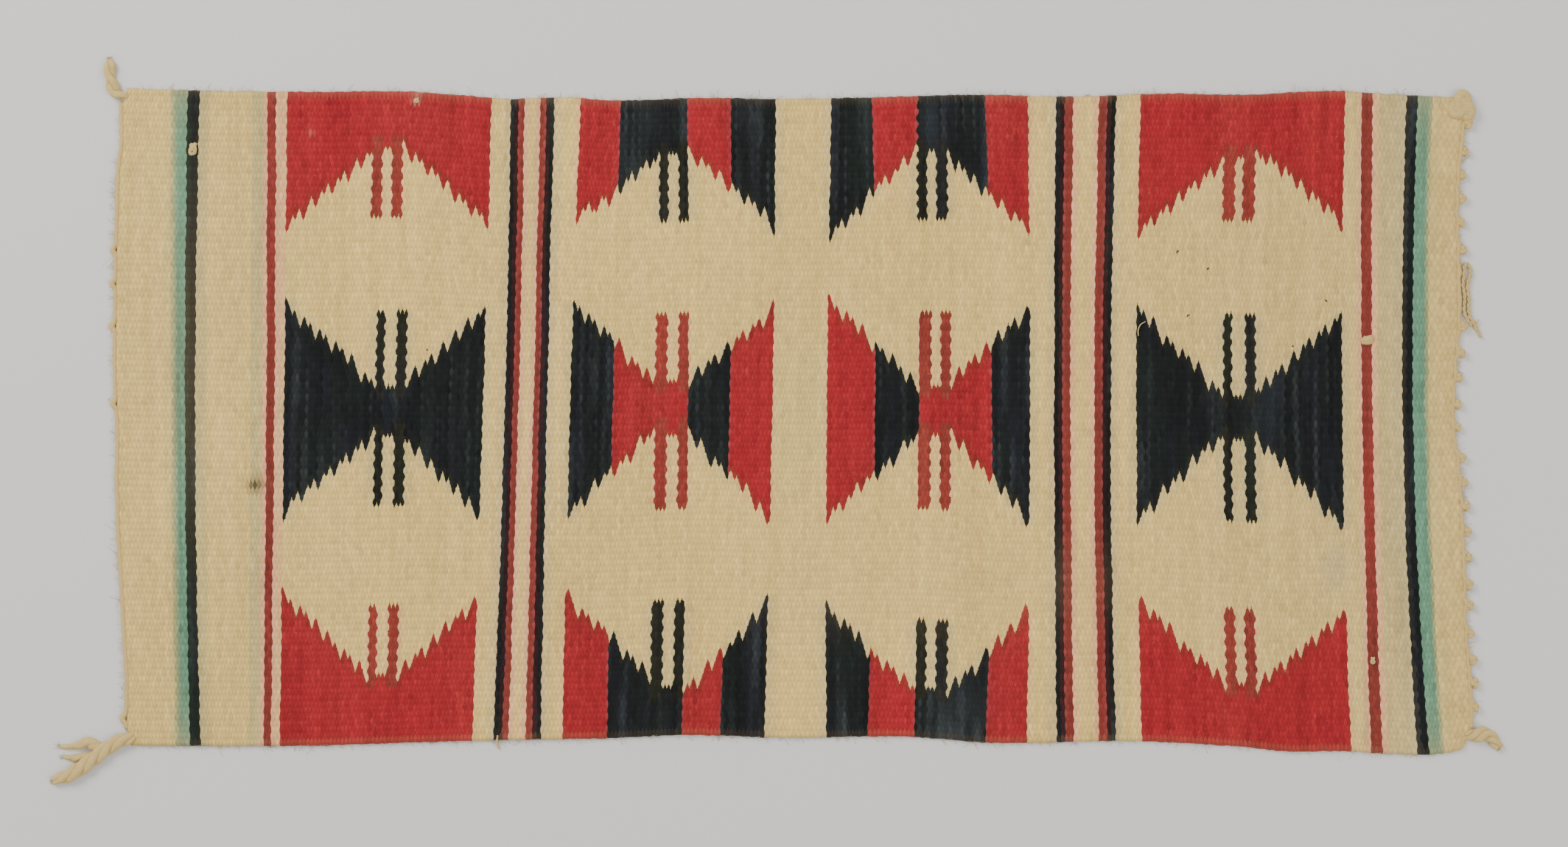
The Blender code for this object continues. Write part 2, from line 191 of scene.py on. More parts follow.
# The foot of a slope, past its last tooth, in picks and warps; how much deeper than the slopes the
# waist is cut, in warps; and the share of a gap by which the wefts close up where the dye changes
FOOT_PICKS = 6
FOOT_WARPS = 3.4
WAIST_STEP = 0.6
CLOSE_UP = 0.26

# Columns of hourglasses: the picks where each band of colour begins, and where the last one stops
COLUMN_BANDS = ((83, 183), (227, 249, 288, 308, 330), (358, 382, 404, 441, 460), (514, 618))

# The dyes of those bands, for the top, middle and bottom hourglass of each column
COLUMN_DYES = (
    ((RED,), (BLACK,), (RED,)),
    ((RED, BLACK, RED, BLACK), (BLACK, RED, BLACK, RED), (RED, BLACK, RED, BLACK)),
    ((BLACK, RED, BLACK, RED), (RED, BLACK, RED, BLACK), (BLACK, RED, BLACK, RED)),
    ((RED,), (BLACK,), (RED,)),
)
WAIST_BAND = (0, 1, 2, 0)
BAR_DYES = {RED: BAR_RED, BLACK: BAR_BLACK}

# The picks of the two bars, for the top, middle and bottom hourglass of each column
COLUMN_BARS = (
    ((125, 130, 135, 140), (129, 133, 139, 144), (128, 132, 138, 143)),
    ((272, 277, 283, 288), (271, 277, 283, 288), (271, 277, 283, 288)),
    ((403, 408, 413, 419), (404, 410, 415, 420), (404, 409, 414, 420)),
    ((557, 563, 567, 573), (558, 562, 569, 574), (557, 562, 567, 572)),
)

# The warps, counted from the top selvage, at which the two slopes above a waist begin, the bars begin
# and the slopes reach the waist, and then the same below it
OPEN = None
COLUMN_WARPS = (
    (
        (OPEN, ((20.5, 19.4), 18.5, (7.3, 6.9))),
        (((33.6, 34.4), 35.7, (48.1, 47.4)), ((66.1, 66.6), 64.5, (52.4, 53.4))),
        (((79.4, 81.2), 82.5, (94.5, 94.2)), OPEN),
    ),
    (
        (OPEN, ((19.2, 20.1), 18.4, (7.1, 7.0))),
        (((33.2, 33.8), 35.2, (47.0, 47.6)), ((67.1, 67.8), 65.3, (52.0, 52.9))),
        (((80.5, 81.6), 83.0, (95.5, 98.3)), OPEN),
    ),
    (
        (OPEN, ((22.3, 21.0), 18.9, (7.0, 7.6))),
        (((32.1, 34.1), 35.9, (48.4, 47.8)), ((68.1, 67.6), 65.4, (52.8, 53.0))),
        (((82.6, 82.3), 85.1, (97.7, 97.2)), OPEN),
    ),
    (
        (OPEN, ((21.8, 20.1), 18.3, (8.1, 6.9))),
        (((34.0, 34.9), 36.0, (48.9, 48.6)), ((68.3, 67.9), 66.2, (52.5, 52.6))),
        (((81.1, 82.1), 83.0, (95.3, 95.5)), OPEN),
    ),
)


def nearest_rib(ideal, pick):
    """The rib nearest to a height at which this pick lies over its warp."""
    low = math.floor(ideal)
    low -= (low + pick) % 2
    return low if ideal - low <= 1 else low + 2


def toothed_slope(picks, tip, waist):
    """The last rib that the colour reaches at each pick, from the tip of a slope to its waist."""
    fall = 1 if tip > waist else -1
    run = len(picks) - FOOT_PICKS
    climb = abs(tip - waist) - FOOT_WARPS
    spikes = []
    for k in range(TEETH):
        rib = round(tip - fall * climb * k / (TEETH - 1))
        place = round(run * k / (TEETH - 1))
        if (picks[place] + rib) % 2:
            place += 1
        spikes.append((place, rib))
    ribs = [nearest_rib(tip, pick) for pick in picks]
    for k, (place, rib) in enumerate(spikes):
        ribs[place] = rib
        if k < TEETH - 1:
            next_place, next_rib = spikes[k + 1]
            ribs[next_place - 1] = next_rib - fall
            notch, notch_rib = next_place - 2, next_rib - 2 * fall
        else:
            notch, notch_rib = len(picks) - 1, waist
        for at in range(place + 1, notch + 1):
            ideal = rib + (notch_rib - rib) * (at - place) / (notch - place)
            ribs[at] = nearest_rib(ideal, picks[at])
    return ribs


def weave_hourglass(chart, bands, dyes, waist_dye, bars, above, below):
    """Put one hourglass on the chart, pick by pick; above and below its waist it may be cut off."""
    left, right = bands[0], bands[-1]
    slopes = (list(range(left, bars[0])), list(range(right - 1, bars[3] - 1, -1)))
    first = {pick: 0 for pick in range(left, right)}
    last = {pick: WARPS - 1 for pick in range(left, right)}
    for edge, half, deeper in ((first, above, -WAIST_STEP), (last, below, WAIST_STEP)):
        if half is OPEN:
            continue
        tips, bar_end, waists = half
        for pick in range(bars[0], bars[3]):
            over_bar = pick < bars[1] or pick >= bars[2]
            edge[pick] = nearest_rib(bar_end if over_bar else sum(waists) / 2 + deeper, pick)
        for picks, tip, waist in zip(slopes, tips, waists):
            edge.update(zip(picks, toothed_slope(picks, tip, waist)))
    for pick in range(left, right):
        dye = waist_dye
        if not bars[0] <= pick < bars[3]:
            dye = dyes[max(k for k in range(len(dyes)) if bands[k] <= pick)]
        chart[first[pick]:last[pick] + 1, pick] = dye
        if bars[0] <= pick < bars[1] or bars[2] <= pick < bars[3]:
            if above is not OPEN:
                chart[first[pick]:round(sum(above[2]) / 2) + 1, pick] = BAR_DYES[waist_dye]
            if below is not OPEN:
                chart[round(sum(below[2]) / 2):last[pick] + 1, pick] = BAR_DYES[waist_dye]


def weave_chart():
    """The yarn that shows at each warp and pick."""
    chart = np.full((WARPS, PICKS + 1), CREAM)
    for first, last, yarn in STRIPES:
        chart[:, first:last] = yarn
    for bands, dyes, waist_band, bars, warps in zip(
        COLUMN_BANDS, COLUMN_DYES, WAIST_BAND, COLUMN_BARS, COLUMN_WARPS
    ):
        for level in range(3):
            waist_dye = dyes[level][waist_band]
            weave_hourglass(chart, bands, dyes[level], waist_dye, bars[level], *warps[level])
    return chart


def beat_in(x):
    """Beat the wefts closer together where the dye changes."""
    changes = {pick for stripe in STRIPES for pick in stripe[:2]}
    changes |= {pick for bands in COLUMN_BANDS for pick in bands}
    for pick in changes:
        gap = CLOSE_UP * (x[:, pick] - x[:, pick - 1])
        x[:, pick - 1] += gap
        x[:, pick] -= gap
    return x


# The dyeing of the yarn
# Cream wool is undyed, the others come from small dye baths: each weft has its own tone, hand-spun
# yarn is mottled from bead to bead, and the red and the black have bled a little into the cream.
def linear(red, green, blue):
    """Scene colour of a colour given as seen, from 0 to 255."""
    seen = np.array((red, green, blue)) / 255
    return np.where(seen <= 0.04045, seen / 12.92, ((seen + 0.055) / 1.055) ** 2.4)


YARN_COLOURS = {
    CREAM: linear(225, 192, 113),
    RED: linear(160, 35, 40),
    BLACK: linear(16, 19, 18),
    TEAL: linear(98, 140, 112),
    MAROON: linear(50, 20, 17),
    BRICK: linear(126, 50, 42),
    GREY: linear(206, 182, 118),
    BAR_RED: linear(140, 54, 44),
    BAR_BLACK: linear(30, 29, 18),
}


def near(mask, reach):
    """1 beside the marked beads, and less up to reach picks away."""
    close = mask.astype(float)
    for step in range(1, reach + 1):
        weight = 1 - (step - 1) / reach
        for shift in (-step, step):
            close = np.maximum(close, weight * np.roll(mask, shift, axis=1))
    return close


def tint(colours, share, seen):
    """Draw the colours towards one given as seen, by a share for each bead."""
    return colours + share[..., None] * (linear(*seen) - colours)


def bead_noise(warp_cells, pick_cells, seed):
    return soft_noise(WARPS, PICKS + 1, warp_cells, pick_cells, seed)


# Picks that took on some of the ground's colour, and runs of picks with a cast of their own: the first
# and the one after the last, the share, and the colour as seen
GROUND_SHARES = ((26, 0.6), (27, 0.35), (28, 0.15), (661, 0.4), (660, 0.2))
PICK_CASTS = (
    (38, 44, 0.45, (176, 168, 112)), (23, 26, 0.30, (186, 182, 118)), (662, 665, 0.25, (186, 180, 118)),
    (66, 71, 0.40, (176, 170, 112)), (71, 74, 0.35, (224, 164, 118)), (637, 648, 0.35, (186, 166, 116)),
    (78, 83, 0.70, (236, 172, 128)), (33, 35, 0.45, (26, 52, 30)), (35, 38, 0.30, (26, 40, 26)),
    (649, 651, 0.50, (58, 50, 40)),
)
BLED_RED = (236, 160, 134)

# The right part of the cloth is a little browner from this pick on, and its middle is cleaner
BROWN_FROM = 505
CLEAN_SPAN = (72, 629)


def dye_beads(chart):
    """Colour of each bead of the weave, by warp and pick."""
    colours = np.zeros(chart.shape + (3,))
    for yarn, colour in YARN_COLOURS.items():
        colours[chart == yarn] = colour
    streak = 0.6 * bead_noise(6, PICKS, 21) + 0.6 * bead_noise(4, PICKS // 5, 22)
    bead = np.random.default_rng(5).normal(0, 1, chart.shape)
    patch = bead_noise(5, 30, 23)
    warmth = bead_noise(7, PICKS // 3, 24)
    cool = bead_noise(9, 110, 25)
    faded = bead_noise(5, PICKS // 4, 26) - 0.35
    worn = bead_noise(7, PICKS // 2, 27) + 0.5 * bead_noise(3, PICKS // 7, 28) - 0.2
    picks = np.arange(PICKS + 1)[None, :]
    red = (chart == RED) | (chart == BAR_RED)
    black = chart == BLACK
    red_yarn = red | (chart == BRICK)
    dark_yarn = black | (chart == BAR_BLACK) | (chart == MAROON)
    pale = (chart == CREAM) | (chart == GREY)
    near_red = near(red, 2)
    near_pale = near(pale, 1)
    casts = (
        (pale, warmth, 0.30, (232, 190, 122)), (pale, -warmth, 0.30, (214, 192, 108)),
        (pale, (picks - BROWN_FROM) / 60, 0.40, (204, 178, 114)),
        (chart == RED, patch, 0.45, (146, 26, 34)),
        (red_yarn, -patch, 0.30, (176, 56, 52)), (dark_yarn, cool, 0.35, (26, 28, 42)),
        (dark_yarn, -cool, 0.35, (22, 38, 30)), (black, faded, 0.25, (56, 60, 60)),
        (black, worn, 0.34, (66, 72, 74)),
        (pale, near((chart == BRICK) | (chart == MAROON), 3), 0.75, BLED_RED),
        (pale, near_red, 0.45, BLED_RED),
        (pale, near(dark_yarn, 5) * (1 - near_red), 0.40, (166, 162, 136)),
        (red_yarn, near_pale, 0.40, (122, 52, 36)), (black, near_pale, 0.25, (38, 38, 24)),
        (red_yarn, near(dark_yarn, 1), 0.35, (140, 74, 76)),
    )
    for yarn, strength, share, seen in casts:
        colours = tint(colours, yarn * np.clip(strength, 0, 1) * share, seen)
    for pick, share in GROUND_SHARES:
        colours[:, pick] += share * (YARN_COLOURS[CREAM] - colours[:, pick])
    for first, last, share, seen in PICK_CASTS:
        patchy = share * (0.7 + 0.3 * bead_noise(14, PICKS // 2, first))[:, first:last]
        colours[:, first:last] = tint(colours[:, first:last], patchy, seen)
    spread = 0.085 * pale + 0.15 * red_yarn + 0.34 * dark_yarn + 0.16 * (chart == TEAL)
    tone = 1 + spread * ((1.25 - 0.25 * pale) * streak + (0.5 + 0.2 * pale) * bead + 0.5 * patch)
    inner = np.clip(np.minimum(picks - CLEAN_SPAN[0], CLEAN_SPAN[1] - picks) / 30, 0, 1)
    cleaner = 0.055 * inner[..., None] * pale[..., None]
    colours = colours * (1 + cleaner * np.array((1.0, 0.85, 0.35)))
    return np.clip(colours * np.clip(tone, 0.35, 2.2)[..., None], 0.002, 0.95)


# Stains, specks and faded patches: the middle and the half size in millimetres, the share, the colour
AGE_MARKS = (
    (118.3, -211.0, 4, 9, 0.30, (84, 90, 90)), (136.5, -211.5, 3, 8, 0.30, (90, 96, 96)),
    (127.4, -193.0, 16, 20, 0.14, (84, 90, 92)), (-86.9, 204.8, 8, 15, 0.18, (70, 76, 80)),
    (105.0, 202.7, 5, 17, 0.22, (70, 82, 88)), (-24.0, 208.0, 10, 14, 0.12, (70, 74, 76)),
    (330.0, 6.0, 10, 34, 0.14, (66, 76, 80)), (-353.4, -44.0, 5.0, 3.6, 0.95, (58, 46, 32)),
    (-350.0, -42.0, 6.5, 6.0, 0.45, (110, 90, 64)), (332.0, 108.4, 2.0, 2.4, 0.35, (120, 104, 78)),
    (379.2, -97.9, 9, 16, 0.35, (150, 146, 136)), (-243.4, 218.0, 3.0, 1.8, 0.7, (226, 196, 176)),
    (-314.8, 194.9, 2.0, 2.4, 0.15, (226, 180, 160)), (-420, 40, 40, 120, 0.10, (214, 186, 130)),
    (120, -110, 120, 26, 0.10, (190, 160, 118)),
)


def round_patch(x, y, middle_x, middle_y, half_x, half_y):
    """1 in the middle of a soft round patch of the cloth, and 0 far from it."""
    return np.exp(-((x / MM - middle_x) / half_x) ** 2 - ((y / MM - middle_y) / half_y) ** 2)


chart = weave_chart()
bead_x, bead_y = cloth_plan(1)
bead_x = beat_in(bead_x)
bead_x = (bead_x[:-1] + bead_x[1:]) / 2
bead_y = (bead_y[:-1] + bead_y[1:]) / 2
bead_colours = dye_beads(chart)
for mark_x, mark_y, half_x, half_y, share, seen in AGE_MARKS:
    mark = round_patch(bead_x, bead_y, mark_x, mark_y, half_x, half_y)
    bead_colours = tint(bead_colours, share * mark, seen)
from_selvage = np.minimum(np.arange(WARPS), WARPS - 1 - np.arange(WARPS))[:, None]
fading = np.exp(-from_selvage / 4.0)
bead_colours = tint(bead_colours, (chart == TEAL) * fading * 0.6, (158, 156, 110))
dull = round_patch(bead_x, bead_y, 17, 5, 26, 64)
bead_colours = tint(bead_colours, (chart == CREAM) * dull * 0.28, (196, 180, 128))
soiled = (from_selvage == 0) * np.where(chart == BLACK, 0.04, 0.10)
bead_colours = tint(bead_colours, soiled, (176, 142, 96))


# The relief of the weave
# Each weft passes over one warp and under the next, so its beads sit on the ribs like bricks in a wall.
# A rib is a warp with its wefts packed round it. The back has the other half of the same wefts.
FACE_VALLEY = 2.35 * MM
FACE_BEAD = 0.74 * MM
FACE_GROOVE = 0.46 * MM
BACK_VALLEY = 0.72 * MM
BACK_BEAD = 0.70 * MM
BACK_GROOVE = 0.44 * MM
SELVAGE_BULGE = 0.8 * MM
FACE_RIM = 1.95 * MM
BACK_RIM = 0.80 * MM
END_DROP = 0.05 * MM
BACK_LIFT = 0.02 * MM
SWELL = 0.16 * MM
SLUBS = 0.10 * MM
RIB_FULLNESS = 0.75
BEAD_SPREAD = 0.09

# Where a band's face and back lie on its bake map, and how far past them its selvages and walls reach
FACE_MAP = 0.02
BACK_MAP = 0.52
MAP_WIDTH = 0.46
MAP_TOP = 0.97
MAP_HEIGHT = 0.94
MAP_RIM = 0.012
WALL_MAPS = (-0.01, 0.475)


def rib_heights(rows_per_warp, bead, groove, face, seed):
    """How far each grid point stands out of the valleys between the ribs."""
    rows = np.arange(WARPS * rows_per_warp + 1)[:, None]
    picks = np.arange(PICKS + 1)[None, :]
    warp = np.minimum(rows // rows_per_warp, WARPS - 1)
    across = (rows % rows_per_warp) / rows_per_warp
    profile = np.sin(np.pi * across) ** RIB_FULLNESS
    crest = (picks + warp + face) % 2 == 0
    uneven = np.random.default_rng(seed).normal(1, BEAD_SPREAD, (WARPS, PICKS + 1))[warp[:, 0]]
    return profile * np.where(crest, bead, groove) * uneven


face_x, face_y = cloth_plan(4)
face_x = beat_in(face_x)
back_x, back_y = face_x[::2], face_y[::2]
swell = SWELL * (1 + soft_noise(*face_x.shape, 5, 11, 31))
slubs = SLUBS * soft_noise(*face_x.shape, 16, PICKS // 2, 32)
face_z = FACE_VALLEY + rib_heights(4, FACE_BEAD, FACE_GROOVE, 0, 33) + swell + slubs
back_z = BACK_VALLEY - rib_heights(2, BACK_BEAD, BACK_GROOVE, 1, 34) + swell[::2]
back_z = np.maximum(back_z, BACK_LIFT)
for edge in (0, -1):
    face_z[edge] = FACE_RIM
    back_z[edge] = BACK_RIM
    face_z[:, edge] = FACE_RIM - END_DROP
    back_z[:, edge] = BACK_RIM + END_DROP


def bead_weft(picks, warps, face):
    """The pick whose bead covers the cell to the right of each pick on each warp."""
    return np.where((picks + warps + face) % 2 == 0, picks, picks + 1)


def corner_pairs(pairs):
    """Pairs of values for each corner of a quad, as one block for all the quads."""
    return np.stack([np.stack(pair, axis=-1) for pair in pairs], axis=-2).reshape(-1, 4, 2)


def face_cells(number, first, rows_per_warp, face):
    """The quads of the face or the back of a band, each with the colour of its bead."""
    rows, columns = number.shape[0] - 1, number.shape[1] - 1
    base_u = BACK_MAP if face else FACE_MAP
    j, i = np.mgrid[0:rows, 0:columns]
    turns = ((0, 0), (0, 1), (1, 1), (1, 0)) if face else ((0, 0), (1, 0), (1, 1), (0, 1))
    corners = np.stack([number[j + dj, i + di] for dj, di in turns], axis=-1).reshape(-1, 4)
    weave = corner_pairs([((first + i + di) + face, (j + dj) / rows_per_warp) for dj, di in turns])
    map_u, map_v = MAP_WIDTH / columns, MAP_HEIGHT / rows
    spread = corner_pairs([(base_u + map_u * (i + di), MAP_TOP - map_v * (j + dj)) for dj, di in turns])
    warp = np.minimum(j // rows_per_warp, WARPS - 1)
    weft = bead_weft(first + i, warp, face)
    towards = np.where(j % rows_per_warp < rows_per_warp // 2, -1, 1)
    next_warp = np.clip(warp + towards, 0, WARPS - 1)
    own = bead_colours[warp, weft].reshape(-1, 3)
    beside = bead_colours[next_warp, 2 * (first + i) + 1 - weft].reshape(-1, 3)
    return corners, weave, spread, own, beside


def selvage_cells(upper, lower, first, warp, outer, inner, base_u):
    """One strip of quads round a selvage, between two rows of points."""
    columns = len(upper) - 1
    i = np.arange(columns)
    corners = np.stack((upper[i], upper[i + 1], lower[i + 1], lower[i]), axis=-1)
    marks = [(i, outer), (i + 1, outer), (i + 1, inner), (i, inner)]
    spread = corner_pairs([(base_u + MAP_WIDTH * k / columns, np.full(columns, v)) for k, v in marks])
    level = float(WARPS) if warp else 0.0
    weave = corner_pairs([(first + k, np.full(columns, level)) for k, v in marks])
    if warp:
        corners, spread, weave = corners[:, ::-1], spread[:, ::-1], weave[:, ::-1]
    colours = bead_colours[warp, bead_weft(first + i, warp, 0)]
    return corners, weave, spread, colours, colours


def weft_wall(face_numbers, back_numbers, rims, pick, base_u, outward):
    """The closing wall of a band along a weft, hidden against the next band."""
    halves = len(back_numbers) - 1
    walls = {}
    for j in range(halves):
        ring = [(back_numbers[j], j, MAP_RIM), (back_numbers[j + 1], j + 1, MAP_RIM)]
        if j == halves - 1:
            ring.append((rims[1], j + 1.2, 1.5 * MAP_RIM))
        ring += [(face_numbers[2 * j + n], j + n / 2, 1.5 * MAP_RIM) for n in (2, 1, 0)]
        if j == 0:
            ring.append((rims[0], -0.2, 1.5 * MAP_RIM))
        corners, heights, across = zip(*ring[::-outward])
        weave = [(pick, h / 2) for h in heights]
        spread = [(base_u + a, MAP_TOP - MAP_HEIGHT * h / halves) for a, h in zip(across, heights)]
        colour = bead_colours[min(j // 2, WARPS - 1), pick]
        walls.setdefault(len(ring), []).append((corners, weave, spread, colour, colour))
    return [tuple(np.array(column) for column in zip(*walls[size])) for size in sorted(walls)]


def fill_mesh(name, points, blocks, flat_blocks):
    """A mesh from blocks of faces: vertex numbers, weave counts, bake map, and two yarn colours."""
    every = blocks + flat_blocks
    sizes = np.concatenate([np.full(len(faces[0]), faces[0].shape[1]) for faces in every])
    corners, weave, spread = (np.concatenate([faces[k].ravel() for faces in every]) for k in range(3))
    own, beside = (np.concatenate([faces[k] for faces in every]) for k in (3, 4))
    mesh = bpy.data.meshes.new(name)
    mesh.vertices.add(len(points))
    mesh.vertices.foreach_set("co", points.astype(np.float32).ravel())
    mesh.loops.add(len(corners))
    mesh.loops.foreach_set("vertex_index", corners.astype(np.int32))
    mesh.polygons.add(len(sizes))
    mesh.polygons.foreach_set("loop_start", (np.cumsum(sizes) - sizes).astype(np.int32))
    mesh.update(calc_edges=True)
    flat_count = sum(len(faces[0]) for faces in flat_blocks)
    mesh.polygons.foreach_set("use_smooth", np.arange(len(sizes)) < len(sizes) - flat_count)
    for layer, places in (("OFBake", spread), ("weave_count", weave)):
        mesh.uv_layers.new(name=layer).data.foreach_set("uv", places.astype(np.float32))
    for layer, colours in (("dyed_wool", own), ("dyed_beside", beside)):
        shown = np.repeat(np.column_stack((colours, np.ones(len(colours)))), sizes, axis=0)
        dyes = mesh.color_attributes.new(layer, "FLOAT_COLOR", "CORNER")
        dyes.data.foreach_set("color", shown.astype(np.float32).ravel())
    return mesh


def grid_normals(x, y, z, side):
    """The way that each grid point of the whole cloth faces."""
    points = np.stack((x, y, z), axis=-1)
    normals = np.cross(np.gradient(points, axis=1), np.gradient(points, axis=0)) * -side
    return normals / np.linalg.norm(normals, axis=-1)[..., None]


face_normals = grid_normals(face_x, face_y, face_z, 1)
back_normals = grid_normals(back_x, back_y, back_z, -1)


def weave_band(name, first, last):
    """One closed band of the cloth, from one pick to another."""
    span = slice(first, last + 1)
    picks = np.arange(first, last + 1)
    face = np.stack((face_x[:, span], face_y[:, span], face_z[:, span]), axis=-1)
    back = np.stack((back_x[:, span], back_y[:, span], back_z[:, span]), axis=-1)
    rims = []
    for edge, side in ((0, 1), (-1, -1)):
        rim = (face[edge] + back[edge]) / 2
        turn = 0.5 + 0.5 * np.cos(picks * math.pi / 3 + 1.5 * np.sin(picks * 0.37))
        bulge = 0.35 + 0.65 * turn * np.abs(np.sin(picks * 0.113 + side))
        rim[:, 1] += side * SELVAGE_BULGE * bulge
        rims.append(rim)
    points = np.concatenate((face.reshape(-1, 3), back.reshape(-1, 3), *rims))
    numbers = np.arange(len(points))
    cut, rim_start = face.shape[0] * len(picks), len(points) - 2 * len(picks)
    face_numbers = numbers[:cut].reshape(-1, len(picks))
    back_numbers = numbers[cut:rim_start].reshape(-1, len(picks))
    rim_numbers = numbers[rim_start:].reshape(2, len(picks))
    blocks = [face_cells(face_numbers, first, 4, 0), face_cells(back_numbers, first, 2, 1)]
    map_foot = MAP_TOP - MAP_HEIGHT
    for edge, warp, inner, outer in (
        (0, 0, MAP_TOP, MAP_TOP + MAP_RIM), (-1, WARPS - 1, map_foot, map_foot - MAP_RIM)
    ):
        rim = rim_numbers[edge]
        blocks.append(selvage_cells(face_numbers[edge], rim, first, warp, inner, outer, FACE_MAP))
        blocks.append(selvage_cells(rim, back_numbers[edge], first, warp, outer, inner, BACK_MAP))
    walls = []
    normals = np.zeros((len(points), 3))
    for column, pick, base_u, outward in ((0, first, WALL_MAPS[0], -1), (-1, last, WALL_MAPS[1], 1)):
        sides = (face_numbers[:, column], back_numbers[:, column], rim_numbers[:, column])
        walls += weft_wall(*sides, pick, base_u, outward)
        if 0 < pick < PICKS:
            normals[sides[0]] = face_normals[:, pick]
            normals[sides[1]] = back_normals[:, pick]
    mesh = fill_mesh(name, points, blocks, walls)
    mesh.normals_split_custom_set_from_vertices(normals.tolist())
    band = bpy.data.objects.new(name, mesh)
    bpy.context.collection.objects.link(band)
    return band


# The finish of the woven wool
# Matt wool with a faint bloom: rounded beads darkened by painted shade where they meet, fine plied yarn
# slanting over each bead, and loose hairs that soften the colour.
def maths(kind, first, second=None):
    """A Math node; each input is a number or another node's output."""
    tree = next(value.id_data for value in (first, second) if hasattr(value, "id_data"))
    node = tree.nodes.new("ShaderNodeMath")
    node.operation = kind
    for socket, value in zip(node.inputs, (first, second)):
        if isinstance(value, (int, float)):
            socket.default_value = value
        elif value is not None:
            tree.links.new(value, socket)
    return node.outputs[0]


def plus(first, second):
    return maths("ADD", first, second)


def minus(first, second):
    return maths("SUBTRACT", first, second)


def times(first, second):
    return maths("MULTIPLY", first, second)


def wool_shader(name, roughness, sheen):
    """A new material with its shader set for matt wool."""
    material = bpy.data.materials.new(name)
    material.use_nodes = True
    shader = material.node_tree.nodes["Principled BSDF"]
    shader.inputs["Roughness"].default_value = roughness
    shader.inputs["Specular IOR Level"].default_value = 0.18
    shader.inputs["Sheen Weight"].default_value = sheen
    shader.inputs["Sheen Roughness"].default_value = 0.55
    return material, shader


def map_axes(tree, name):
    """The two axes of one of the piece's own maps."""
    places = tree.nodes.new("ShaderNodeUVMap")
    places.uv_map = name
    split = tree.nodes.new("ShaderNodeSeparateXYZ")
    tree.links.new(places.outputs["UV"], split.inputs["Vector"])
    return split.outputs["X"], split.outputs["Y"]


def stretched_noise(tree, scale, stretch, detail):
    """Noise on the object's own coordinates, drawn out by stretch along each axis."""
    coordinates = tree.nodes.new("ShaderNodeTexCoord")
    mapping = tree.nodes.new("ShaderNodeMapping")
    mapping.inputs["Scale"].default_value = stretch
    noise = tree.nodes.new("ShaderNodeTexNoise")
    noise.inputs["Scale"].default_value = scale
    noise.inputs["Detail"].default_value = detail
    tree.links.new(coordinates.outputs["Object"], mapping.inputs["Vector"])
    tree.links.new(mapping.outputs["Vector"], noise.inputs["Vector"])
    return noise.outputs["Fac"]


def mixed(share, first, second):
    """A mix of two colours, each one given as seen or another node's output."""
    tree = share.id_data
    mix = tree.nodes.new("ShaderNodeMix")
    mix.data_type = "RGBA"
    tree.links.new(share, mix.inputs[0])
    for socket, colour in zip((mix.inputs[6], mix.inputs[7]), (first, second)):
        if isinstance(colour, tuple):
            socket.default_value = (*linear(*colour), 1)
        else:
            tree.links.new(colour, socket)
    return mix.outputs[2]


def dress(shader, colour, tone, height, distance):
    """Give a shader its colour, lighter or darker by a tone near 1, and its relief."""
    tree = height.id_data
    scale = tree.nodes.new("ShaderNodeVectorMath")
    scale.operation = "SCALE"
    tree.links.new(colour, scale.inputs[0])
    tree.links.new(tone, scale.inputs["Scale"])
    tree.links.new(scale.outputs[0], shader.inputs["Base Color"])
    relief = tree.nodes.new("ShaderNodeBump")
    relief.inputs["Strength"].default_value = 0.6
    relief.inputs["Distance"].default_value = distance
    tree.links.new(height, relief.inputs["Height"])
    tree.links.new(relief.outputs["Normal"], shader.inputs["Normal"])


# A bead is widest over the middle of its warp and tapers towards the next one. bead_side says how far
# from its middle a point is and bead_width where its edge runs: past that, the next bead begins.
woven_wool, shader = wool_shader("woven wool", 0.95, 0.12)
tree = woven_wool.node_tree
picks_along, warps_across = map_axes(tree, "weave_count")
warp_share = maths("FRACT", warps_across)
shifted = plus(picks_along, maths("FLOOR", warps_across))
bead_share = maths("FRACT", plus(times(shifted, 0.5), 0.5))
bead_side = times(maths("ABSOLUTE", minus(bead_share, 0.5)), 2.0)
taper = times(maths("POWER", maths("ABSOLUTE", minus(warp_share, 0.5)), 1.8), 1.74)
bead_width = minus(1.0, taper)
own_reach = maths("DIVIDE", bead_side, bead_width)
next_reach = maths("DIVIDE", minus(1.0, bead_side), plus(taper, 0.03))
reach = maths("MINIMUM", maths("MINIMUM", own_reach, next_reach), 1.0)
bead_round = minus(1.0, maths("POWER", reach, 2.4))
ply_lines = times(maths("SINE", plus(times(bead_share, 26.0), times(warp_share, 9.0))), 0.05)
fibres = stretched_noise(tree, 1700, (1.0, 0.2, 1.0), 5.0)
fluff = stretched_noise(tree, 300, (1.0, 0.7, 1.0), 3.0)
height = plus(plus(times(bead_round, 0.8), ply_lines), times(fibres, 0.9))
# The tone is painted shade towards the edges where the beads meet, plus random tone from the fibres and
# fluff.
tone = plus(plus(plus(0.54, times(bead_round, 0.18)), times(fibres, 0.36)), times(fluff, 0.32))
past = plus(minus(bead_side, bead_width), times(minus(fibres, 0.5), 1.5))
dyes = []
for layer in ("dyed_wool", "dyed_beside"):
    dye = tree.nodes.new("ShaderNodeAttribute")
    dye.attribute_name = layer
    dyes.append(dye.outputs["Color"])
dyed = mixed(plus(times(past, 5.0), 0.5), *dyes)
redness = tree.nodes.new("ShaderNodeSeparateColor")
tree.links.new(dyed, redness.inputs["Color"])
lint = times(minus(stretched_noise(tree, 620, (1.0, 0.8, 1.0), 4.0), 0.62), 2.2)
lint = maths("MINIMUM", maths("MAXIMUM", lint, 0.0), 0.5)
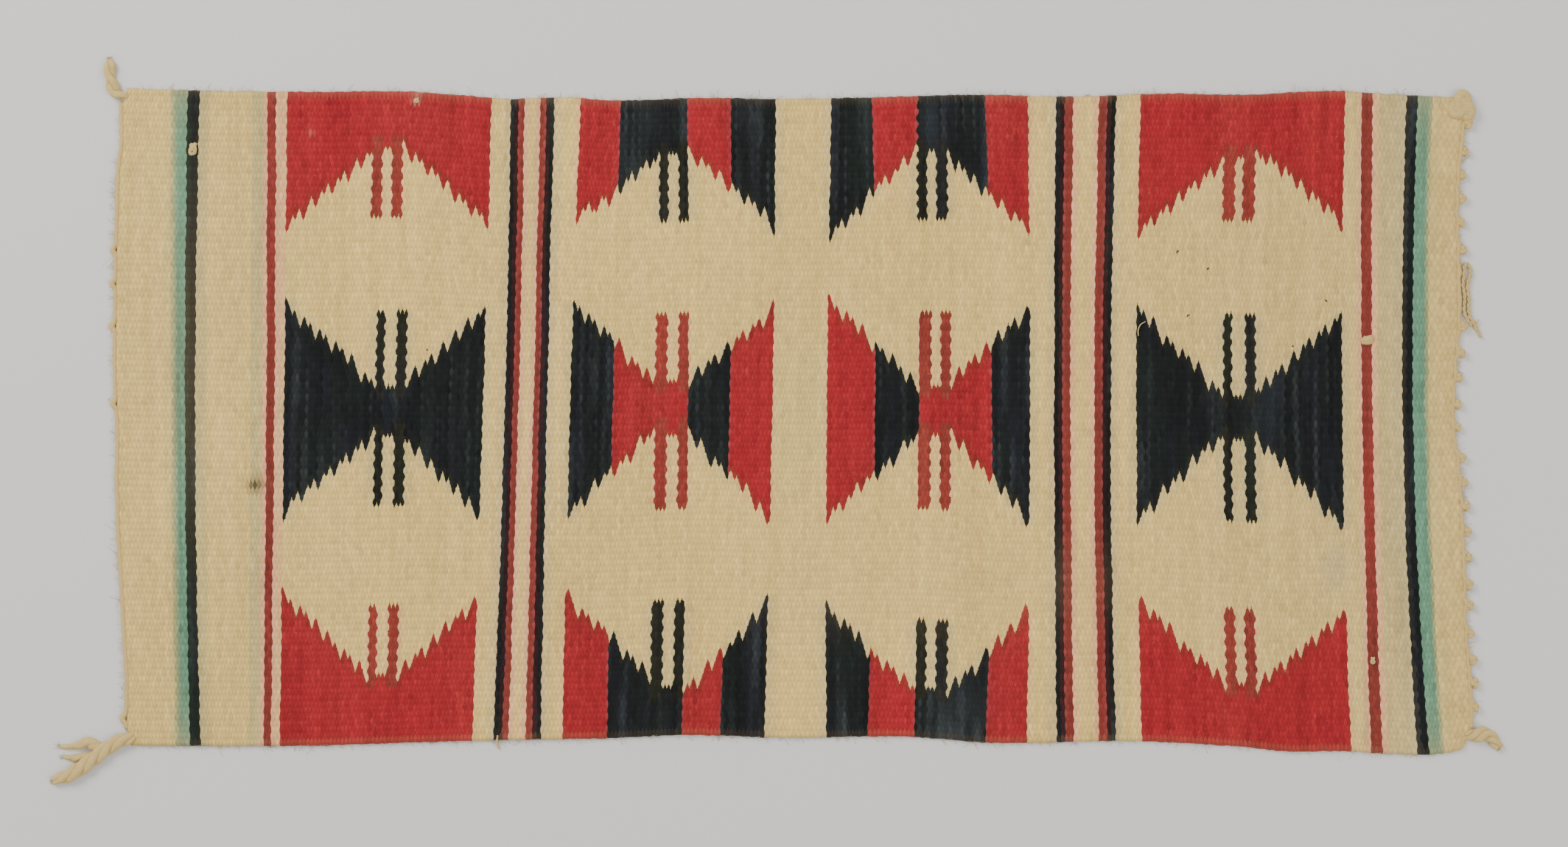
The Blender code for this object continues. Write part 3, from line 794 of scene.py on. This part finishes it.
lint = times(lint, plus(redness.outputs["Red"], 0.05))
dress(shader, mixed(lint, dyed, (196, 172, 160)), tone, height, 0.0004)


# The six bands of the cloth
# They are one cloth on the real rug. Each is measured as a sheet that lies flat on the floor, and
# together they stand for the solid of the woven field.
BANDS = (
    ("left_border_weave", 0, 83), ("first_column_weave", 83, 227),
    ("second_column_weave", 227, 358), ("third_column_weave", 358, 473),
    ("fourth_column_weave", 473, 618), ("right_border_weave", 618, PICKS),
)
cloth_bands = []
for name, first, last in BANDS:
    band = weave_band(name, first, last)
    band.data.materials.append(woven_wool)
    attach(band, "root")
    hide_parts("woven_field")
    cloth_bands.append(band)


# The left end cord
# Two heavy warp-yarn plies twined round the ends of the warps, which close the cloth where the
# weaving began. Five small loops of warp stand out of it.
CORD_HALF = 1.75 * MM
CORD_HEIGHT = 1.6 * MM
LEFT_CORD_SPAN = (-208.4 * MM, 215.2 * MM)
LOOP_PLACES = (115.6 * MM, 92.9 * MM, 64.0 * MM, 11.6 * MM, -201.5 * MM)
LOOP_REACH = 2.4 * MM
TWIST_PITCH = 17.2 * MM


def lengths_along(line):
    """How far along a line each of its points is."""
    return np.concatenate(([0], np.cumsum(np.linalg.norm(np.diff(line, axis=0), axis=1))))


class Yarns:
    """Round yarns laid one after another into one mesh."""

    def __init__(self):
        self.points = []
        self.faces = []
        self.places = []

    def lay(self, middles, halves, sides=8, flat=1.0):
        """A closed round yarn along middles, with the given half thickness at each of them."""
        middles = np.asarray(middles, float)
        halves = np.broadcast_to(halves, len(middles))
        runs = np.gradient(middles, axis=0)
        runs /= np.linalg.norm(runs, axis=1)[:, None] + 1e-12
        side = np.cross(runs, (0.0, 0.0, 1.0))
        weak = np.linalg.norm(side, axis=1) < 0.15
        side[weak] = np.cross(runs[weak], (0.0, 1.0, 0.0))
        side /= np.linalg.norm(side, axis=1)[:, None] + 1e-12
        up = np.cross(side, runs)
        turn = (np.arange(sides) * 2 * math.pi / sides)[None, :, None]
        ring = side[:, None] * np.cos(turn) + flat * up[:, None] * np.sin(turn)
        points = middles[:, None] + halves[:, None, None] * ring
        start = sum(len(block) for block in self.points)
        self.points += [points.reshape(-1, 3), middles[[0, -1]]]
        lengths = lengths_along(middles)
        last = len(middles) - 1
        for i in range(last):
            here, there = lengths[i], lengths[i + 1]
            a, b = start + i * sides, start + (i + 1) * sides
            for k in range(sides):
                after = (k + 1) % sides
                self.faces.append((a + k, b + k, b + after, a + after))
                self.places += [(here, k / sides), (there, k / sides)]
                self.places += [(there, (k + 1) / sides), (here, (k + 1) / sides)]
        for i in (0, last):
            a, hub = start + i * sides, start + (last + 1) * sides + (i == last)
            for k in range(sides):
                rim = (k, (k + 1) % sides) if i == 0 else ((k + 1) % sides, k)
                self.faces.append((hub, a + rim[0], a + rim[1]))
                self.places += [(lengths[i], v) for v in (0.5, rim[0] / sides, rim[1] / sides)]

    def finish(self, name, material, *nodes):
        """Make the piece, with its lengths as a map for the twist of the yarn."""
        mesh = bpy.data.meshes.new(name)
        points = np.concatenate(self.points)
        points[:, 2] = np.maximum(points[:, 2], 0.0)
        mesh.from_pydata(points.tolist(), [], self.faces)
        layer = mesh.uv_layers.new(name="yarn_length")
        places = np.array(self.places) * (1 / MM, 1.0)
        layer.data.foreach_set("uv", places.astype(np.float32).ravel())
        mesh.update()
        mesh.shade_smooth()
        piece = bpy.data.objects.new(name, mesh)
        bpy.context.collection.objects.link(piece)
        mesh.materials.append(material)
        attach(piece, "root")
        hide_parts(*nodes)
        return piece


def along_route(stations, step):
    """Even steps along a smooth route of x, y and half width in millimetres."""
    stations = np.array(stations, float) * MM
    away = lengths_along(stations[:, :2])
    at = np.linspace(0, away[-1], max(4, round(away[-1] / step) + 1))
    return np.stack([smooth_between(away, column, at) for column in stations.T], axis=1)


def raised(x, y, height):
    """A line at one height, or at a height for each of its points."""
    return np.column_stack((x, y, np.broadcast_to(height, len(y))))


def headed(x, y, heading, along, across):
    """The x and y of places along and across a heading from one point."""
    turn_x, turn_y = math.cos(heading), math.sin(heading)
    return x + along * turn_x - across * turn_y, y + along * turn_y + across * turn_x


def lay_plies(yarns, middles, halves, plies, pitch, phase=0.0, sides=8, seed=1, groove=1.0):
    """A rope of some plies that wind round each other along middles."""
    middles = np.asarray(middles, float)
    halves = np.broadcast_to(halves, len(middles))
    lengths = lengths_along(middles)
    side = np.cross(np.gradient(middles, axis=0), (0.0, 0.0, 1.0))
    side /= np.linalg.norm(side, axis=1)[:, None] + 1e-12
    offset, thick = {1: (0.0, 1.0), 2: (0.50, 0.58), 3: (0.56, 0.52)}[plies]
    offset *= groove
    thick = max(thick, 1 - offset)
    rng = np.random.default_rng(seed)
    for ply in range(plies):
        turn = 2 * math.pi * (lengths / pitch + ply / plies) + phase
        path = middles + side * (offset * halves * np.cos(turn))[:, None]
        path[:, 2] += offset * halves * np.sin(turn)
        lumps = 1 + 0.06 * np.interp(lengths, np.linspace(0, lengths[-1], 24), rng.normal(0, 1, 24))
        yarns.lay(path, halves * thick * lumps, sides)


def spun_yarn_material(name, seen, groove_shade_seen, ply_turns):
    """Undyed plied yarn: slanting plies, darker and yellower in the grooves as painted shade, with fine
    fibres along them.
    """
    material, shader = wool_shader(name, 0.95, 0.15)
    tree = material.node_tree
    length, around = map_axes(tree, "yarn_length")
    twist = times(plus(times(length, ply_turns), around), 6 * math.pi)
    plies = maths("ABSOLUTE", maths("SINE", twist))
    fibres = stretched_noise(tree, 1500, (1.0, 1.0, 1.0), 3.0)
    fluff = stretched_noise(tree, 260, (1.0, 1.0, 1.0), 2.0)
    # The second colour is painted shade in the grooves between the plies.
    colour = mixed(plus(times(plies, 0.55), times(fluff, 0.6)), groove_shade_seen, seen)
    dress(shader, colour, plus(0.84, times(fibres, 0.30)), plus(plies, times(fibres, 0.7)), 0.0003)
    return material


warp_yarn = spun_yarn_material("warp yarn", (228, 202, 134), (192, 156, 86), 0.16)
cord_yarn = spun_yarn_material("cord yarn", (220, 190, 124), (208, 178, 112), 0.12)

left_cord = Yarns()
y = np.linspace(*LEFT_CORD_SPAN, 420)
loops = sum(np.exp(-((y - place) / (2.6 * MM)) ** 2) for place in LOOP_PLACES)
middles = raised(left_x(y) + CORD_HALF - LOOP_REACH * loops, y, CORD_HEIGHT)
lay_plies(left_cord, middles, CORD_HALF * (1 + 0.25 * loops), 2, TWIST_PITCH, groove=0.45)
left_cord_piece = left_cord.finish("left_end_cord_yarn", cord_yarn, "left_end_cord")


# The right end cord and its knots
# The weaving ended here: a cord like the other, and the warp ends tied off in small overhand knots,
# about one for every four warps. Two of the knots have slipped open.
RIGHT_CORD_SPAN = (-207.8 * MM, 206.2 * MM)
KNOT_COUNT = 24
FIRST_KNOT = 201.5 * MM
SLIPPED_KNOTS = (6, 7)
KNOT_SHIFTS = (0, 2.2, 0.7, -0.7, -1.4, 0, 0, 0, 0, 1.1, 0.4, 1.0,
               -0.5, 3.0, 2.7, 1.2, 1.4, 2.0, 2.6, -0.2, 1.7, 2.2, 0.7, 0)

right_cord = Yarns()
y = np.linspace(*RIGHT_CORD_SPAN, 420)
knot_places = [FIRST_KNOT - k * TWIST_PITCH - KNOT_SHIFTS[k] * MM for k in range(KNOT_COUNT)]
pulled = sum(np.exp(-((y - place - 1.2 * MM) / (2.8 * MM)) ** 2) for place in knot_places)
sway = 0.35 * MM * np.sin(y / (2.3 * MM)) + 0.9 * MM * pulled
middles = raised(right_x(y) - CORD_HALF - 0.5 * MM + sway, y, CORD_HEIGHT)
halves = CORD_HALF * (0.92 + 0.22 * pulled)
lay_plies(right_cord, middles, halves, 2, TWIST_PITCH, phase=1.3, seed=2, groove=0.45)
right_cord_piece = right_cord.finish("right_end_cord_yarn", cord_yarn, "right_end_cord")


def overhand_knot(yarns, middle, half, thick, turn, lean):
    """A yarn tied on itself: three crossing turns drawn tight into a lump."""
    t = np.linspace(0, 2 * math.pi, 43)
    x = (np.sin(t) + 2 * np.sin(2 * t)) / 2.8
    y = (np.cos(t) - 2 * np.cos(2 * t)) / 2.8
    x, y = headed(0, 0, turn, x, y)
    loops = raised(x, y, lean * x - np.sin(3 * t))
    yarns.lay(np.asarray(middle) + loops * np.asarray(half), thick, 8)


knots = Yarns()
rng = np.random.default_rng(8)
for k, y in enumerate(knot_places):
    if k in SLIPPED_KNOTS:
        continue
    x = float(right_x(y)) + rng.uniform(0.7, 1.7) * MM
    size = rng.uniform(0.9, 1.15)
    half = (1.35 * MM * size, 2.1 * MM * size, 0.9 * MM)
    turn, lean = rng.uniform(0, 6.3), rng.uniform(-0.3, 0.3)
    overhand_knot(knots, (x, y, 2.4 * MM), half, 1.4 * MM * size, turn, lean)
    for drop in (rng.uniform(3.4, 5.2), -rng.uniform(1.8, 3.0)):
        leg = ((-3.2, drop), (-1.8, 0.72 * drop), (-0.4, 0.3 * drop), (0, 0))
        reach = along_route(leg, 0.6 * MM)
        rise = np.linspace(1.7, 2.6, len(reach)) * MM
        knots.lay(raised(x + reach[:, 0], y + reach[:, 1], rise), 1.05 * MM, 7)
right_knots = knots.finish("right_end_knots", warp_yarn, "right_end_cord")


# The slipped warp ends
# Where a knot has opened, its doubled warp end lies loose beside the cord: a thin thread that runs up,
# turns back on itself and comes down again.
SLIPPED_WARP_END = (
    (478.0, 56.4, 0.7), (474.9, 62.2, 1.0), (471.7, 68.5, 1.0), (470.1, 74.9, 1.0),
    (469.5, 81.2, 1.0), (469.1, 88.6, 1.0), (469.8, 93.8, 1.0), (470.6, 98.4, 1.0),
    (470.2, 103.2, 1.0), (468.4, 106.4, 1.0), (466.5, 104.6, 1.0), (466.1, 100.6, 1.0),
    (466.2, 96.0, 1.0), (466.4, 90.6, 1.0), (466.5, 85.0, 1.0), (466.4, 79.6, 1.0),
    (467.2, 74.2, 1.0), (469.3, 68.2, 0.9), (471.7, 63.4, 0.6),
)
WARP_BARB = ((470.6, 71.0, 0.5), (472.4, 67.6, 0.7), (475.4, 66.4, 0.5), (476.6, 68.6, 0.3))
slipped = Yarns()
route = along_route(SLIPPED_WARP_END, 0.7 * MM)
freedom = np.clip((480 * MM - route[:, 0]) / (9 * MM), 0, 1)
wander = 0.5 * MM * np.sin(route[:, 1] / (3.1 * MM)) * freedom
middles = raised(route[:, 0] + wander, route[:, 1], 1.5 * MM)
lay_plies(slipped, middles, route[:, 2] * 1.4, 2, 8.0 * MM, sides=6, seed=3, groove=0.8)
barb = along_route(WARP_BARB, 0.6 * MM)
slipped.lay(raised(barb[:, 0], barb[:, 1], 1.6 * MM), barb[:, 2], 6)
slipped_piece = slipped.finish("slipped_warp_yarn", warp_yarn, "slipped_warp_end")


# The corner tails and the tassel
# The selvage cords end at the corners: a twisted tail at the top left, a thick frayed tassel with two
# thin locks at the bottom left, and a bent tail at the bottom right. All are plied undyed yarn.
TOP_LEFT_TAIL = (
    (-439.6, 217.0, 1.6), (-441.4, 219.2, 3.2), (-443.8, 220.3, 4.1), (-448.0, 223.3, 4.2),
    (-449.7, 227.6, 4.2), (-450.8, 231.8, 4.4), (-451.4, 237.0, 3.8), (-451.2, 241.4, 3.9),
    (-451.4, 244.4, 2.8),
)
TOP_LEFT_WISP = ((-450.8, 236.0, 1.1), (-451.6, 240.0, 1.2), (-452.6, 243.6, 1.1), (-453.4, 246.5, 0.6))
BOTTOM_LEFT_TASSEL = (
    (-434.2, -213.4, 2.2), (-437.4, -214.8, 4.0), (-443.7, -216.5, 5.0), (-449.8, -219.7, 4.9),
    (-455.2, -223.4, 5.3), (-460.8, -227.5, 5.5), (-466.5, -232.0, 5.5), (-472.1, -236.2, 5.4),
    (-478.3, -239.8, 5.0), (-484.4, -242.4, 4.2), (-490.0, -244.0, 2.8),
)
UPPER_LOCK = (
    (-452.0, -222.5, 2.4), (-456.0, -222.0, 3.0), (-461.2, -219.8, 4.2), (-466.4, -217.6, 4.1),
    (-471.5, -219.6, 3.0), (-478.5, -220.8, 2.1), (-485.6, -220.9, 1.2),
)
LOWER_LOCK = (
    (-457.5, -225.6, 2.0), (-463.0, -226.6, 2.2), (-469.2, -227.4, 2.7), (-475.6, -228.6, 2.4),
    (-482.6, -227.8, 1.3),
)
BOTTOM_RIGHT_TAIL = (
    (467.0, -213.2, 2.2), (470.6, -213.2, 3.6), (474.2, -212.8, 4.7), (478.2, -212.2, 5.0),
    (481.8, -212.4, 4.6), (485.2, -214.6, 4.0), (487.7, -218.0, 3.6), (490.15, -221.45, 3.0),
)
TAIL_FLATNESS = 0.62


def lay_tail(yarns, stations, plies, pitch, seed, root_height=0.0, sides=9, groove=1.0):
    """A flattened rope along a route on the floor, raised at its root where it leaves the cloth."""
    route = along_route(stations, 0.8 * MM)
    rise = root_height * np.exp(-np.linspace(0, 5, len(route)) ** 2)
    middles = raised(route[:, 0], route[:, 1], route[:, 2] * 1.04 + rise)
    laid = len(yarns.points)
    lay_plies(yarns, middles, route[:, 2], plies, pitch, sides=sides, seed=seed, groove=groove)
    for block in yarns.points[laid:]:
        block[:, 2] *= TAIL_FLATNESS


def fray(yarns, tip, away, spread, length, count, seed):
    """Loose fibres that fan out of a tip."""
    rng = np.random.default_rng(seed)
    heading = math.atan2(away[1], away[0])
    t = np.linspace(0, 1, 6)
    for _ in range(count):
        angle = heading + rng.normal(0, spread)
        reach = length * rng.uniform(0.5, 1.0)
        bend = rng.normal(0, 0.35)
        x, y = headed(tip[0], tip[1], angle, reach * t, reach * bend * t**2)
        z = np.maximum(tip[2] * (1 - t**2) + rng.uniform(0, 1) * MM * t, 0.15 * MM)
        yarns.lay(raised(x, y, z), 0.16 * MM * (1 - 0.6 * t), 4)


top_tail = Yarns()
lay_tail(top_tail, TOP_LEFT_TAIL, 2, 27 * MM, 4, root_height=1.0 * MM)
lay_tail(top_tail, TOP_LEFT_WISP, 1, 9 * MM, 5, sides=6)
fray(top_tail, (-0.4514, 0.2445, 0.0016), (0, 1), 0.5, 3.5 * MM, 14, 41)
top_tail_piece = top_tail.finish("top_left_tail_yarn", warp_yarn, "top_left_tail")

tassel = Yarns()
lay_tail(tassel, BOTTOM_LEFT_TASSEL, 3, 36 * MM, 6, root_height=1.4 * MM, groove=0.85)
lay_tail(tassel, UPPER_LOCK, 2, 22 * MM, 7, sides=7, groove=0.45)
lay_tail(tassel, LOWER_LOCK, 2, 18 * MM, 8, sides=7, groove=0.45)
fray(tassel, (-0.4890, -0.2438, 0.0016), (-1, -0.3), 0.7, 4.0 * MM, 22, 42)
fray(tassel, (-0.4840, -0.2209, 0.0008), (-1, 0), 0.4, 6.0 * MM, 9, 43)
fray(tassel, (-0.4815, -0.2279, 0.0008), (-1, 0.1), 0.4, 5.0 * MM, 8, 44)
tassel_piece = tassel.finish("bottom_left_tassel_yarn", warp_yarn, "bottom_left_tassel")

right_tail = Yarns()
lay_tail(right_tail, BOTTOM_RIGHT_TAIL, 3, 24 * MM, 9, root_height=0.8 * MM)
fray(right_tail, (0.4899, -0.2210, 0.0016), (0.5, -1), 0.6, 3.5 * MM, 14, 45)
right_tail_piece = right_tail.finish("bottom_right_tail_yarn", warp_yarn, "bottom_right_tail")


# The corner knot
# At the top right the ends of the selvage cord are tied into one flattened lump of yarn, whose turns
# run round it.
CORNER_KNOT_PLACE = (464.9 * MM, 212.6 * MM, 3.0 * MM)
TUCKED_END = ((459.7, 209.6, 1.8), (463.2, 212.6, 2.2), (466.2, 216.1, 2.4), (467.7, 219.6, 1.6))
lump = Yarns()
overhand_knot(lump, CORNER_KNOT_PLACE, (6.7 * MM, 8.0 * MM, 0.6 * MM), 3.4 * MM, 3.0, 0.06)
overhand_knot(lump, CORNER_KNOT_PLACE, (3.7 * MM, 4.3 * MM, 0.7 * MM), 3.0 * MM, 0.6, 0.1)
tucked = along_route(TUCKED_END, 0.8 * MM)
lay_plies(lump, raised(tucked[:, 0], tucked[:, 1], 3.2 * MM), tucked[:, 2], 2, 8 * MM, seed=10)
corner_piece = lump.finish("corner_knot_yarn", warp_yarn, "corner_knot")


# The loose wool on the cloth
# Slubs of pale wool caught in the weave, small knots where a weft was joined, and a few thread ends
# that have worked out of it.
LUMPS = (
    (-394.9, 184.1, 3.0, 4.6, 0.8, 51), (400.6, 54.7, 4.6, 2.2, 0.7, 52),
    (404.4, -162.3, 1.8, 2.6, 0.8, 53), (-243.4, 217.0, 2.0, 1.4, 0.6, 54),
)
RAISED_THREAD = ((245.6, 57.5, 0.35), (245.4, 61.0, 0.4), (247.0, 65.0, 0.4), (250.5, 67.2, 0.3))
HANGING_THREAD = ((-188.5, -213.0, 0.6), (-188.9, -217.5, 0.7), (-187.6, -222.4, 0.5))


def wool_lump(yarns, x, y, half_x, half_y, height, seed):
    """A soft lump of unspun wool: a few turns of thin yarn wound on themselves."""
    rng = np.random.default_rng(seed)
    t = np.linspace(0, 1, 46)
    angle = 2 * math.pi * (4.4 * t + rng.random())
    reach = 0.25 + 0.75 * np.sin(math.pi * t) ** 0.5
    path = np.stack((
        x + half_x * 0.7 * reach * np.cos(angle),
        y + half_y * 0.8 * reach * np.sin(angle * 0.71 + 1),
        3.1 + height * (0.3 + 0.5 * np.sin(angle * 1.3)) * t,
    ), axis=1)
    yarns.lay(path * MM, 0.34 * half_x * MM * (0.6 + 0.5 * np.sin(math.pi * t)), 6)


loose = Yarns()
for row in LUMPS:
    wool_lump(loose, *row)
for route, start, stop in ((RAISED_THREAD, 3.5, 3.5), (HANGING_THREAD, 3.2, 1.2)):
    thread = along_route(route, 0.7 * MM)
    height = np.linspace(start, stop, len(thread)) * MM
    loose.lay(raised(thread[:, 0], thread[:, 1], height), thread[:, 2], 6)
loose_piece = loose.finish("loose_wool_yarn", warp_yarn, "woven_field")

# Flecks of dry grass caught in the wool when it was spun: place in millimetres, heading, length
FLECKS = (
    (272.3, 114.4, 1.0, 2.6), (292.8, 102.9, 0.9, 1.9), (373.0, 81.4, 2.4, 2.0),
    (279.3, 71.0, 0.8, 2.6), (350.3, 50.4, 0.4, 1.3), (-236.0, 48.0, 1.2, 1.2),
    (118.0, -52.0, 0.3, 1.1),
)
grass, grass_shader = wool_shader("dry grass", 0.9, 0.0)
grain = stretched_noise(grass.node_tree, 900, (1.0, 1.0, 1.0), 2.0)
grass_colour = mixed(grain, (58, 44, 32), (112, 88, 60))
grass.node_tree.links.new(grass_colour, grass_shader.inputs["Base Color"])
flecks = Yarns()
for x, y, heading, length in FLECKS:
    t = np.linspace(-0.5, 0.5, 7)
    across = 0.12 * length * np.cos(t * math.pi)
    places = headed(x, y, heading, length * t, across)
    flecks.lay(raised(*places, 3.15) * MM, 0.55 * MM * np.cos(t * 2.6), 6, flat=0.6)
fleck_piece = flecks.finish("dry_grass_flecks", grass, "woven_field")


# The loose fibres
# Hand-spun wool sheds a fine fuzz: single curved hairs stand out of the four edges of the cloth and
# droop towards the floor.
HAIRS = 1000
HAIR_SPAN = (-0.430, 0.448)
HAIR_SPREAD = 0.2055

fuzz = Yarns()
rng = np.random.default_rng(61)
for k in range(HAIRS):
    reach = rng.uniform(2.5, 6.5) * MM
    across = rng.uniform(-HAIR_SPREAD, HAIR_SPREAD)
    along = rng.uniform(*HAIR_SPAN)
    x, y, heading = (
        (along, float(top_y(along)), 0.5 * math.pi), (along, float(bottom_y(along)), -0.5 * math.pi),
        (float(left_x(across)), across, math.pi), (float(right_x(across)), across, 0.0),
    )[(0, 0, 1, 1, 2, 3)[k % 6]]
    heading += rng.normal(0, 0.6)
    t = np.linspace(0, 1, 5)
    bend = rng.normal(0, 0.5)
    places = headed(x, y, heading, reach * (t - 0.3), reach * bend * t**2)
    height = np.maximum(2.4 * MM - reach * 0.5 * t * rng.uniform(0, 1), 0.2 * MM)
    fuzz.lay(raised(*places, height), 0.085 * MM, 4)
fuzz_piece = fuzz.finish("loose_wool_hairs", warp_yarn, "woven_field")


# The size of each band
# The width and length of each band's box are measured here; nothing uses them.
for band in cloth_bands:
    corners = np.array([corner[:] for corner in band.bound_box])
    width, length = (corners.max(axis=0) - corners.min(axis=0))[:2]


# The floor, the light and the camera
# A plain pale studio floor, one large soft light from the upper left, and a camera straight above.
bpy.ops.mesh.primitive_plane_add(size=6.0, location=(0, 0, 0))
floor = bpy.context.object
floor.name = "floor"
floor_finish = bpy.data.materials.new("pale floor")
floor_finish.use_nodes = True
floor_shader = floor_finish.node_tree.nodes["Principled BSDF"]
floor_shader.inputs["Base Color"].default_value = (0.74, 0.73, 0.71, 1)
floor_shader.inputs["Roughness"].default_value = 0.85
floor.data.materials.append(floor_finish)


def soft_light(name, place, size, power):
    """A rectangular light that faces the middle of the rug."""
    light = bpy.data.lights.new(name, "AREA")
    light.shape = "RECTANGLE"
    light.size, light.size_y = size
    light.energy = power
    lamp = bpy.data.objects.new(name, light)
    lamp.location = place
    tilt = math.pi / 2 - math.atan2(place[2], math.hypot(place[0], place[1]))
    lamp.rotation_euler = (tilt, 0, math.atan2(-place[1], -place[0]) - math.pi / 2)
    bpy.context.collection.objects.link(lamp)


soft_light("key light", (-1.6, 1.5, 1.7), (1.2, 1.2), 52)
soft_light("fill light", (1.8, -0.6, 2.2), (2.0, 2.0), 29)
world = bpy.data.worlds.new("studio")
world.use_nodes = True
world.node_tree.nodes["Background"].inputs["Color"].default_value = (1, 0.99, 0.97, 1)
world.node_tree.nodes["Background"].inputs["Strength"].default_value = 0.72
bpy.context.scene.world = world

view = bpy.data.cameras.new("camera")
view.lens = 85
view.sensor_width = 36
view.clip_end = 20
camera = bpy.data.objects.new("camera", view)
camera.location = (5.57 * MM, -1.86 * MM, 2.511)
bpy.context.collection.objects.link(camera)
bpy.context.scene.camera = camera
